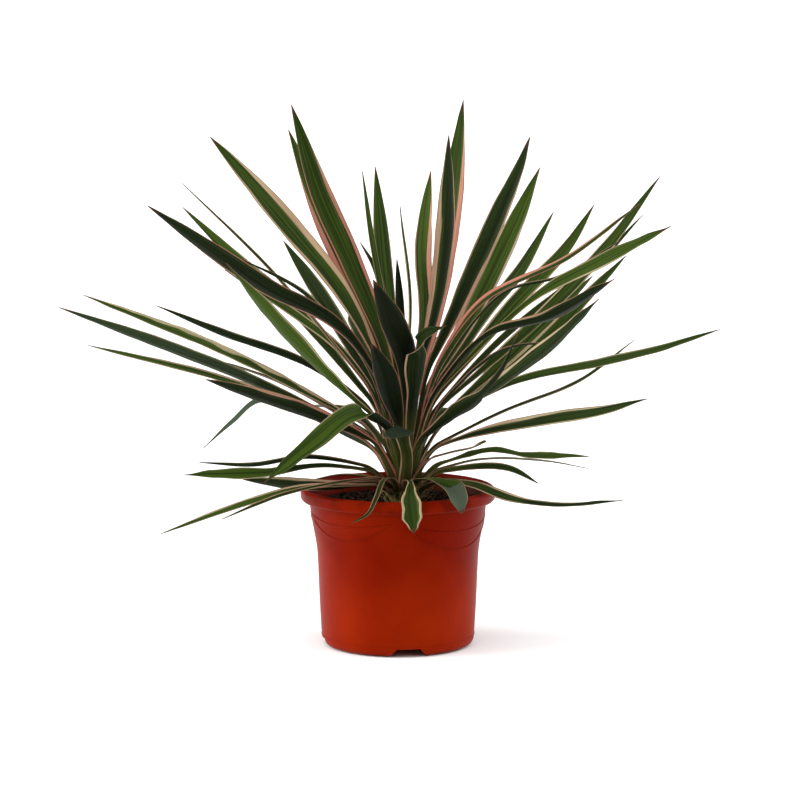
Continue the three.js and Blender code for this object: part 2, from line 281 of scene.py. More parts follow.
# %% [markdown]
# ## Floor finish
#
# The floor is matt and nearly white, like a sheet of paper under the plant.

# %% Paint the floor
floor_finish = Finish(
    "floor_matt",
    Base_Color=(0.93, 0.93, 0.93, 1),
    Roughness=0.9,
    Specular_IOR_Level=0.1,
)
floor.data.materials.append(floor_finish.material)
print("floor side", FLOOR_SIDE, "m")

# %% [markdown]
# ## Settling a piece
#
# Every finished piece stands at the origin with its place in its mesh, wears its finish, rides on the
# one body of the frame, and hides the solids that it stands for. Smaller helpers copy, join and
# shade pieces, and write values on a mesh for its finish to read.

# %% Settle a piece
def settle(piece, finish, slot, *nodes):
    """Applies a piece's place, paints it, and ties it to the frame."""
    pick(piece)
    bpy.ops.object.transform_apply(location=True, rotation=True, scale=True)
    piece.data.materials.clear()
    piece.data.materials.append(finish.material)
    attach(piece, "root")
    if nodes:
        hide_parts(*nodes)


def copy_of(piece, name):
    """A copy with its own mesh."""
    made = piece.copy()
    made.data = piece.data.copy()
    made.name = name
    bpy.context.scene.collection.objects.link(made)
    return made


def remove(piece):
    bpy.data.objects.remove(piece, do_unlink=True)


def apply_modifier(piece, kind, **settings):
    """Adds a modifier to the piece and applies it."""
    pick(piece)
    modifier = piece.modifiers.new(kind.title(), kind)
    for name, value in settings.items():
        setattr(modifier, name, value)
    bpy.ops.object.modifier_apply(modifier=modifier.name)


def join(pieces, name):
    """Several pieces made one."""
    pick(*pieces)
    bpy.ops.object.join()
    pieces[0].name = name
    return pieces[0]


def face_outwards():
    """Turns all faces of the piece in edit mode outwards, and leaves edit mode."""
    bpy.ops.mesh.select_all(action="SELECT")
    bpy.ops.mesh.normals_make_consistent(inside=False)
    bpy.ops.object.mode_set(mode="OBJECT")


def shade_smooth(piece):
    for face in piece.data.polygons:
        face.use_smooth = True


def write_marks(piece, marks):
    """Writes lists of values, one to a corner, on the mesh for its finish to read."""
    for name, values in marks.items():
        piece.data.attributes.new(name, "FLOAT", "POINT").data.foreach_set("value", values)


print("solids to stand for", len(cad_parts))

# %% [markdown]
# ## Smooth lines
#
# Wall, lip and leaves all follow smooth lines through a few measured points. A Catmull-Rom curve
# passes through each of its points, which a Bezier or NURBS curve doesn't, and its centripetal form
# has no loops or overshoots where points lie unevenly. The leaf solids follow the same curve, so a
# leaf laid along it here covers its solid.

# %% A smooth line through points
def catmull_rom(points, steps):
    """Points along a smooth line through all the given ones, steps to each stretch."""
    ends = [2 * points[0] - points[1], 2 * points[-1] - points[-2]]
    points = [ends[0], *points, ends[1]]
    line = []
    for p0, p1, p2, p3 in zip(points, points[1:], points[2:], points[3:]):
        d0, d1, d2 = [math.sqrt((b - a).length) for a, b in ((p0, p1), (p1, p2), (p2, p3))]
        leaving = ((p1 - p0) / d0 - (p2 - p0) / (d0 + d1) + (p2 - p1) / d1) * d1
        arriving = ((p2 - p1) / d1 - (p3 - p1) / (d1 + d2) + (p3 - p2) / d2) * d1
        for step in range(steps):
            t = step / steps
            line.append(
                p1 + leaving * t
                + (3 * (p2 - p1) - 2 * leaving - arriving) * t**2
                + (2 * (p1 - p2) + leaving + arriving) * t**3
            )
    return line + [points[-2]]


def evenly(line, count):
    """A line's points set out again at count + 1 equal distances, with its length."""
    lengths = [0.0]
    for a, b in zip(line, line[1:]):
        lengths.append(lengths[-1] + (b - a).length)
    spaced, i = [], 0
    for step in range(count + 1):
        wanted = lengths[-1] * step / count
        while i < len(lengths) - 2 and lengths[i + 1] < wanted:
            i += 1
        share = (wanted - lengths[i]) / (lengths[i + 1] - lengths[i])
        spaced.append(line[i].lerp(line[i + 1], min(1, share)))
    return spaced, lengths[-1]


corner_line = catmull_rom([Vector((0, 0, 0)), Vector((1, 0, 0)), Vector((1, 1, 0))], 4)
print("a line round a corner has", len(corner_line), "points")

# %% [markdown]
# ## Pot
#
# The pot is one moulding: a base with drain holes, a foot cut by openings for water, a wall that is
# nearly straight and flares to a shoulder, and a rolled lip. It could be spun from a drawn profile.
# Pulling a filled circle outwards and upwards ring by ring gives the same closed body and keeps the
# profile readable as a list of heights and radii. Openings are then cut with plain blocks.

# %% Profile of the pot
POT_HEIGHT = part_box("pot")[1].z
LIP_RADIUS = 0.095
LIP_HEIGHT = 0.0125
WALL = 0.002
FOOT_RADIUS = 0.066
FOOT_INNER_RADIUS = 0.060
FOOT_CORNER = 0.008
BASE_LIFT = 0.007
BASE_THICKNESS = 0.0025
MIDDLE_RADIUS = 0.012
INSIDE_FROM = 0.012
FOOT_SLOPE = 0.0015
INNER_CORNER = 0.003

# Heights and outside radii of the wall. For the lip: heights above its foot and insets from its radius.
WALL_OUTSIDE = [
    (FOOT_CORNER, 0.0745), (0.042, 0.0765), (0.082, 0.0782), (0.092, 0.0788), (0.101, 0.0799),
    (0.111, 0.0817), (0.121, 0.0836), (0.131, 0.0852), (0.142, 0.0864),
]
LIP_OUTSIDE = [
    (0, 0.0022), (0.0018, 0.0006), (0.0065, 0), (0.0101, 0.0005), (0.0120, 0.0020),
    (LIP_HEIGHT, 0.0038), (0.0117, 0.0056), (0.0090, 0.0068),
]


def rounded(profile, steps):
    """A stretch of profile made smooth."""
    line = catmull_rom([Vector((height, radius, 0)) for height, radius in profile], steps)
    return [(point.x, point.y) for point in line]


wall = rounded(WALL_OUTSIDE, 3)
lip_foot = POT_HEIGHT - LIP_HEIGHT
lip = rounded([(lip_foot + height, LIP_RADIUS - inset) for height, inset in LIP_OUTSIDE], 3)
inside = [(height, radius - WALL) for height, radius in reversed(wall) if height > INSIDE_FROM]


def radius_at(profile, height):
    """Radius of a profile at a height."""
    for (h0, r0), (h1, r1) in zip(profile, profile[1:]):
        if height <= h1:
            return r0 + (r1 - r0) * (height - h0) / (h1 - h0)
    return profile[-1][1]


def wall_radius(height):
    return radius_at(wall, height)


print("wall rings", len(wall), "lip rings", len(lip))

# %% Pull the pot up from a circle
AROUND = 144


def pull_up(name, rings, around):
    """A closed body of revolution, pulled ring by ring from a filled circle."""
    start_fresh()
    height, radius = rings[0]
    bpy.ops.mesh.primitive_circle_add(
        vertices=around, radius=radius, fill_type="NGON", location=(0, 0, height)
    )
    body = bpy.context.object
    body.name = name
    bpy.ops.object.mode_set(mode="EDIT")
    for next_height, next_radius in rings[1:]:
        rise = {"value": (0, 0, next_height - height)}
        bpy.ops.mesh.extrude_region_move(TRANSFORM_OT_translate=rise)
        grow = next_radius / radius
        bpy.ops.transform.resize(value=(grow, grow, 1), center_override=(0, 0, 0))
        height, radius = next_height, next_radius
    face_outwards()
    return body


base = BASE_LIFT + BASE_THICKNESS
corner = [
    (FOOT_CORNER * (1 - math.cos(a)), FOOT_RADIUS + (WALL_OUTSIDE[0][1] - FOOT_RADIUS) * math.sin(a))
    for a in [math.radians(angle) for angle in range(0, 90, 15)]
]
foot = [
    (BASE_LIFT, MIDDLE_RADIUS), (BASE_LIFT, FOOT_INNER_RADIUS - FOOT_SLOPE), (0, FOOT_INNER_RADIUS),
]
floor_inside = [
    (base + INNER_CORNER, wall_radius(base) - WALL), (base, wall_radius(base) - 2.5 * WALL),
]
rings = foot + corner + wall + lip + inside + floor_inside + [(base, MIDDLE_RADIUS)]
pot = pull_up("pot_moulding", rings, AROUND)
print("pot faces", len(pot.data.polygons))

# %% [markdown]
# ### Openings for water
#
# Four tapered openings go through the foot and eight round holes through the base. Between the
# openings the foot is also a little shorter, so that water can creep out. A Boolean modifier cuts
# them all in one go with a tool made of a few joined blocks and pins.

# %% Cut the openings
NOTCH_COUNT = 4
NOTCH_FIRST = math.radians(278)
NOTCH_LOW = 0.038
NOTCH_HIGH = 0.023
NOTCH_HEIGHT = 0.0084
CREEP_HEIGHT = 0.0016
CREEP_WIDTH = 0.040
BLOCK_LENGTH = 0.030
BLOCK_MIDDLE = 0.065
BLOCK_BELOW = 0.001
DRAIN_COUNT = 8
DRAIN_RADIUS = 0.005
DRAIN_CIRCLE = 0.045


def opening(angle, low, high, height):
    """A tapered block that lies along a radius and reaches from below the foot to this height."""
    start_fresh()
    bpy.ops.mesh.primitive_cube_add(size=1)
    block = bpy.context.object
    block.scale = (low, BLOCK_LENGTH, height + BLOCK_BELOW)
    bpy.ops.object.transform_apply(location=False, rotation=False, scale=True)
    for vertex in block.data.vertices:
        if vertex.co.z > 0:
            vertex.co.x *= high / low
    block.location = (0, -BLOCK_MIDDLE, (height - BLOCK_BELOW) / 2)
    bpy.ops.object.transform_apply()
    block.rotation_euler.z = angle - math.radians(270)
    bpy.ops.object.transform_apply()
    return block


def drain(angle):
    start_fresh()
    middle = (DRAIN_CIRCLE * math.cos(angle), DRAIN_CIRCLE * math.sin(angle), base)
    bpy.ops.mesh.primitive_cylinder_add(
        vertices=24, radius=DRAIN_RADIUS, depth=4 * BASE_THICKNESS, location=middle
    )
    bpy.ops.object.transform_apply()
    return bpy.context.object


quarter = math.tau / NOTCH_COUNT
cutters = [
    opening(NOTCH_FIRST + i * quarter, NOTCH_LOW, NOTCH_HIGH, NOTCH_HEIGHT)
    for i in range(NOTCH_COUNT)
]
cutters += [
    opening(NOTCH_FIRST + (i + side) * quarter, CREEP_WIDTH, 0.9 * CREEP_WIDTH, CREEP_HEIGHT)
    for i in range(NOTCH_COUNT)
    for side in (0.37, 0.63)
]
cutters += [drain((i + 0.5) * math.tau / DRAIN_COUNT) for i in range(DRAIN_COUNT)]
cutter = join(cutters, "water_openings")
apply_modifier(pot, "BOOLEAN", operation="DIFFERENCE", object=cutter, use_self=True)
remove(cutter)
print("pot faces with openings", len(pot.data.polygons))

# %% [markdown]
# ### Swag lines
#
# Fine raised lines hang in swags round the shoulder, a wide one and a narrow one in turn, each with
# a shallow line above a drooping one, and a fainter line runs round the wall just above the foot.
# A thin round cord, sunk into the wall by half, catches light on its upper side and shades the wall
# below, which a painted line wouldn't. The line above the foot is a torus.

# %% Moulded swags
SWAG_LINE = 0.0007
SWAG_TOP = 0.1325
SWAG_GAP = 2
FOOT_LINE = 0.0105
# Bearings in degrees from one swag's start to its end, and how far its two lines droop.
SWAGS = [
    (-1, 99, 0.0295, 0.0115), (99, 179, 0.0205, 0.0060),
    (179, 279, 0.0295, 0.0115), (279, 359, 0.0205, 0.0060),
]


def on_wall(bearing, height):
    """A point of the wall's outside, at a bearing from the front towards the right."""
    radius = wall_radius(height)
    return Vector((radius * math.sin(bearing), -radius * math.cos(bearing), height))


def swag(first, last, drop, steps=40):
    """A drooping line between two bearings in degrees, as a thin cord that fades at its ends."""
    curve = bpy.data.curves.new("swag", "CURVE")
    curve.dimensions = "3D"
    curve.bevel_depth = SWAG_LINE
    curve.bevel_resolution = 2
    curve.use_fill_caps = True
    spline = curve.splines.new("POLY")
    spline.points.add(steps)
    for i, point in enumerate(spline.points):
        share = i / steps
        bearing = math.radians(first + (last - first) * share)
        height = SWAG_TOP - drop * (1 - (2 * share - 1) ** 2)
        point.co = (*on_wall(bearing, height), 1)
        point.radius = min(1, 0.25 + 6 * min(share, 1 - share))
    made = bpy.data.objects.new("swag", curve)
    bpy.context.scene.collection.objects.link(made)
    return made


lines = [
    swag(first + SWAG_GAP, last - SWAG_GAP, drop)
    for first, last, *drops in SWAGS
    for drop in drops
]
pick(*lines)
bpy.ops.object.convert(target="MESH")
start_fresh()
bpy.ops.mesh.primitive_torus_add(
    major_segments=AROUND, minor_segments=8, location=(0, 0, FOOT_LINE),
    major_radius=wall_radius(FOOT_LINE), minor_radius=0.6 * SWAG_LINE,
)
join([pot, *lines, bpy.context.object], "pot_moulding")
pick(pot)
bpy.ops.object.shade_smooth_by_angle(angle=math.radians(35))
print("pot with swags", len(pot.data.polygons), "faces")

# %% [markdown]
# ### Moulded plastic
#
# The plastic is a deep terracotta red, faded in clouds, and lighter towards the foot, which is
# painted light. Close up it has a fine grain from the mould, thin dust and a few specks of peat. The
# lip carries dark blotches that are painted reflections, and the inside wall above the peat is
# darker brown, most at the right. All of it is driven by the place on the pot.
# In a pale studio a strong gloss would turn the red to pink, so reflections are weak and tinted.

# %% Plastic finish
PLASTIC = (0.138, 0.0044, 0.0005)
PLASTIC_FADED_AND_LIT = (0.235, 0.0135, 0.0012)
PLASTIC_DARK_REFLECTION = (0.055, 0.0030, 0.0006)
PLASTIC_DUST = (0.27, 0.08, 0.04)
DARK_BROWN = (0.03, 0.012, 0.006)


def plastic_finish():
    finish = Finish("moulded_plastic", Specular_IOR_Level=0.04, Specular_Tint=(1, 0.25, 0.10, 1))
    place = finish.place()
    cloud = finish.noise(place, 14, 3)
    x, y, z = finish.parts(place)
    # Faded in clouds, and lighter towards the foot as painted light.
    faded_and_lit = cloud.step(0.30, 0.80) * 0.6 + z.step(0.120, 0.015) * 0.65 - 0.1
    colour = finish.mix(faded_and_lit.clamped(), PLASTIC, PLASTIC_FADED_AND_LIT)
    dust = finish.noise(place, 260, 4, 0.7).step(0.60, 0.78) * finish.noise(place, 22, 2).step(0.45, 0.70)
    colour = finish.mix(dust * 0.2, colour, PLASTIC_DUST)
    specks = finish.noise(place, 520, 1).step(0.745, 0.80) * finish.noise(place, 31, 1).step(0.50, 0.62)
    colour = finish.mix(specks * 0.85, colour, DARK_BROWN)
    # The inside is what lies nearer to the axis than the middle of the wall, which flares upwards.
    reach = finish.node("Math", {"operation": "SQRT"}, {0: x * x + y * y})
    inside = (reach - (z - 0.138) * 0.35).step(0.0856, 0.0846) * z.step(0.133, 0.137)
    # The inside wall just above the peat is darker brown, most at the right.
    darker_inside = inside * z.step(0.1545, 0.1495) * (0.4 + cloud * 0.5 + x * 7).clamped()
    colour = finish.mix(darker_inside * 0.92, colour, DARK_BROWN)
    # Dark blotches on the lip are painted reflections of the leaves above it.
    lip_reflection = z.step(0.1420, 0.1440) * finish.noise(place, 34, 2, 0.6).step(0.42, 0.62)
    colour = finish.mix(lip_reflection * 0.6, colour, PLASTIC_DARK_REFLECTION)
    grain = finish.noise(place, 1400, 2)
    finish.wear(Base_Color=colour, Roughness=0.36 + cloud * 0.12 + dust * 0.25)
    finish.bump(grain + cloud * 3, 0.00006)
    return finish


plastic = plastic_finish()
settle(pot, plastic, "pot_plastic", "pot")
print("pot box", [round(v, 4) for v in pot.dimensions])

# %% [markdown]
# ## Peat
#
# The pot is filled with dark peat to below the lip. A tapered plug is the start: its top is inset
# ring by ring, and those rings are then raised and lowered by a noise, which gives a lumpy but
# closed surface. Loose crumbs and chips of bark lie on top, because bump alone looks like a carpet
# from the side.

# %% The root ball
SOIL_EDGE = 0.138
SOIL_MOUND = 0.005
SOIL_GAP = 0.0004
PLUG_RADIUS = 0.055
PLUG_HEIGHTS = (0.042, 0.082, 0.101, 0.121, SOIL_EDGE)
TOP_RINGS = 22


def lumps(x, y):
    """How far the peat's top stands above or below its mean shape."""
    broad = noise.noise(Vector((x * 34, y * 34, 0.3)))
    fine = noise.fractal(Vector((x * 150, y * 150, 4.1)), 0.6, 2.1, 3)
    return 0.0028 * broad + 0.0014 * fine


def soil_height(x, y):
    """Height of the peat's top."""
    out = math.hypot(x, y) / (wall_radius(SOIL_EDGE) - WALL)
    return SOIL_EDGE + SOIL_MOUND * (1 - out) + lumps(x, y)


plug = [(base + SOIL_GAP, PLUG_RADIUS), (base + 0.004, wall_radius(base) - WALL - SOIL_GAP)]
plug += [(height, wall_radius(height) - WALL - SOIL_GAP) for height in PLUG_HEIGHTS]
soil = pull_up("root_ball", plug, 120)
top = max(soil.data.polygons, key=lambda face: face.center.z)
for face in soil.data.polygons:
    face.select = face.index == top.index
bpy.ops.object.mode_set(mode="EDIT")
bpy.ops.mesh.select_mode(type="FACE")
for _ in range(TOP_RINGS):
    bpy.ops.mesh.inset(thickness=plug[-1][1] / (TOP_RINGS + 1), depth=0)
bpy.ops.object.mode_set(mode="OBJECT")
for vertex in soil.data.vertices:
    if vertex.co.z > SOIL_EDGE - 1e-5:
        vertex.co.z = soil_height(vertex.co.x, vertex.co.y)
print("root ball", len(soil.data.polygons), "faces")

# %% Crumbs and bark
CRUMB_COUNT = 620
CHIP_COUNT = 46
SOIL_REACH = 0.080
draw = random.Random(7)


def scatter(pattern, count, smallest, largest, flat=1.0):
    """Copies of a pattern strewn over the peat, each with its own size, turn and mesh."""
    made = []
    for i in range(count):
        reach = SOIL_REACH * math.sqrt(draw.random())
        bearing = draw.uniform(0, math.tau)
        x, y = reach * math.cos(bearing), reach * math.sin(bearing)
        size = smallest + (largest - smallest) * draw.random() ** 3
        spin = Matrix.Rotation(draw.uniform(0, math.tau), 4, "Z")
        turn = spin @ Matrix.Rotation(draw.gauss(0, 0.35), 4, "X")
        broad, thick = size * draw.uniform(0.6, 1), size * flat * draw.uniform(0.6, 1)
        shape = Matrix.Diagonal((size, broad, thick, 1))
        spot = Matrix.Translation((x, y, soil_height(x, y) + 0.25 * size * flat))
        copy = copy_of(pattern, f"crumb_{i:03d}")
        copy.data.transform(spot @ turn @ shape)
        made.append(copy)
    remove(pattern)
    return made


start_fresh()
bpy.ops.mesh.primitive_ico_sphere_add(subdivisions=2, radius=1)
crumb = bpy.context.object
for vertex in crumb.data.vertices:
    vertex.co *= 1 + 0.45 * noise.noise(vertex.co * 1.7)
crumbs = join(scatter(crumb, CRUMB_COUNT, 0.0007, 0.0034), "peat_crumbs")

start_fresh()
bpy.ops.mesh.primitive_cube_add(size=2)
chip = bpy.context.object
apply_modifier(chip, "BEVEL", width=0.35, segments=2)
for vertex in chip.data.vertices:
    vertex.co.z *= 1 + 0.5 * vertex.co.x * vertex.co.y
    vertex.co.y *= 1 - 0.3 * vertex.co.x
chips = join(scatter(chip, CHIP_COUNT, 0.0016, 0.0055, flat=0.22), "bark_chips")
print("crumbs", len(crumbs.data.polygons), "faces, chips", len(chips.data.polygons), "faces")

# %% [markdown]
# ### Peat and bark finishes
#
# Damp peat is nearly black-brown and quite matt, with lighter dry grains. Bark chips are redder and
# paler. A second noise at a much finer scale roughens them, so that no crumb looks moulded.

# %% Earth finishes
def earth_finish(name, dark, light, pale, scale):
    """Crumbly matter between two browns, with a few pale grains."""
    finish = Finish(name, Specular_IOR_Level=0.08)
    place = finish.place()
    mottle = finish.noise(place, scale, 4, 0.65)
    colour = finish.mix(mottle.step(0.38, 0.68), dark, light)
    grains = finish.noise(place, scale * 4.3, 2).step(0.70, 0.78)
    colour = finish.mix(grains * 0.6, colour, pale)
    finish.wear(Base_Color=colour, Roughness=0.80 + mottle * 0.18)
    finish.bump(finish.noise(place, scale * 7, 3, 0.7), 0.0006)
    return finish


peat = earth_finish("damp_peat", (0.006, 0.003, 0.002), (0.026, 0.012, 0.006), (0.12, 0.07, 0.03), 260)
bark = earth_finish("bark", (0.040, 0.017, 0.008), (0.13, 0.062, 0.028), (0.28, 0.18, 0.09), 420)
settle(soil, peat, "peat", "soil")
settle(crumbs, peat, "peat")
settle(chips, bark, "peat")
print("peat finishes", peat.material.name, bark.material.name)

# %% [markdown]
# ## Leaves
#
# Every leaf is one long blade, folded into a shallow channel: a broad base that clasps the stem, a
# narrow neck, the greatest width past its middle, and a drawn-out point. No two are alike, so each
# has a row of its own, read off the plant: its greatest width, how far its blade is turned, how much
# higher than its neighbours it leaves the stem, how it is striped, and the points that it passes.
# The stripes are the share of the half width that is pale at the upper and at the lower margin
# (left and right where a leaf stands upright), how pink the margins are, and how bright the green
# is: partly the leaf's own tone and partly painted light and shade for how brightly it is lit.

# %% The leaves of this plant
class Leaf:
    """One row of the list: sizes in metres, the turn in degrees."""

    def __init__(self, name, width, turn, lift, looks, *points):
        self.name = name
        self.width = width
        self.turn = math.radians(turn)
        self.lift = lift
        self.upper, self.lower, self.pink, self.tone = looks
        self.points = [Vector(point) for point in points]


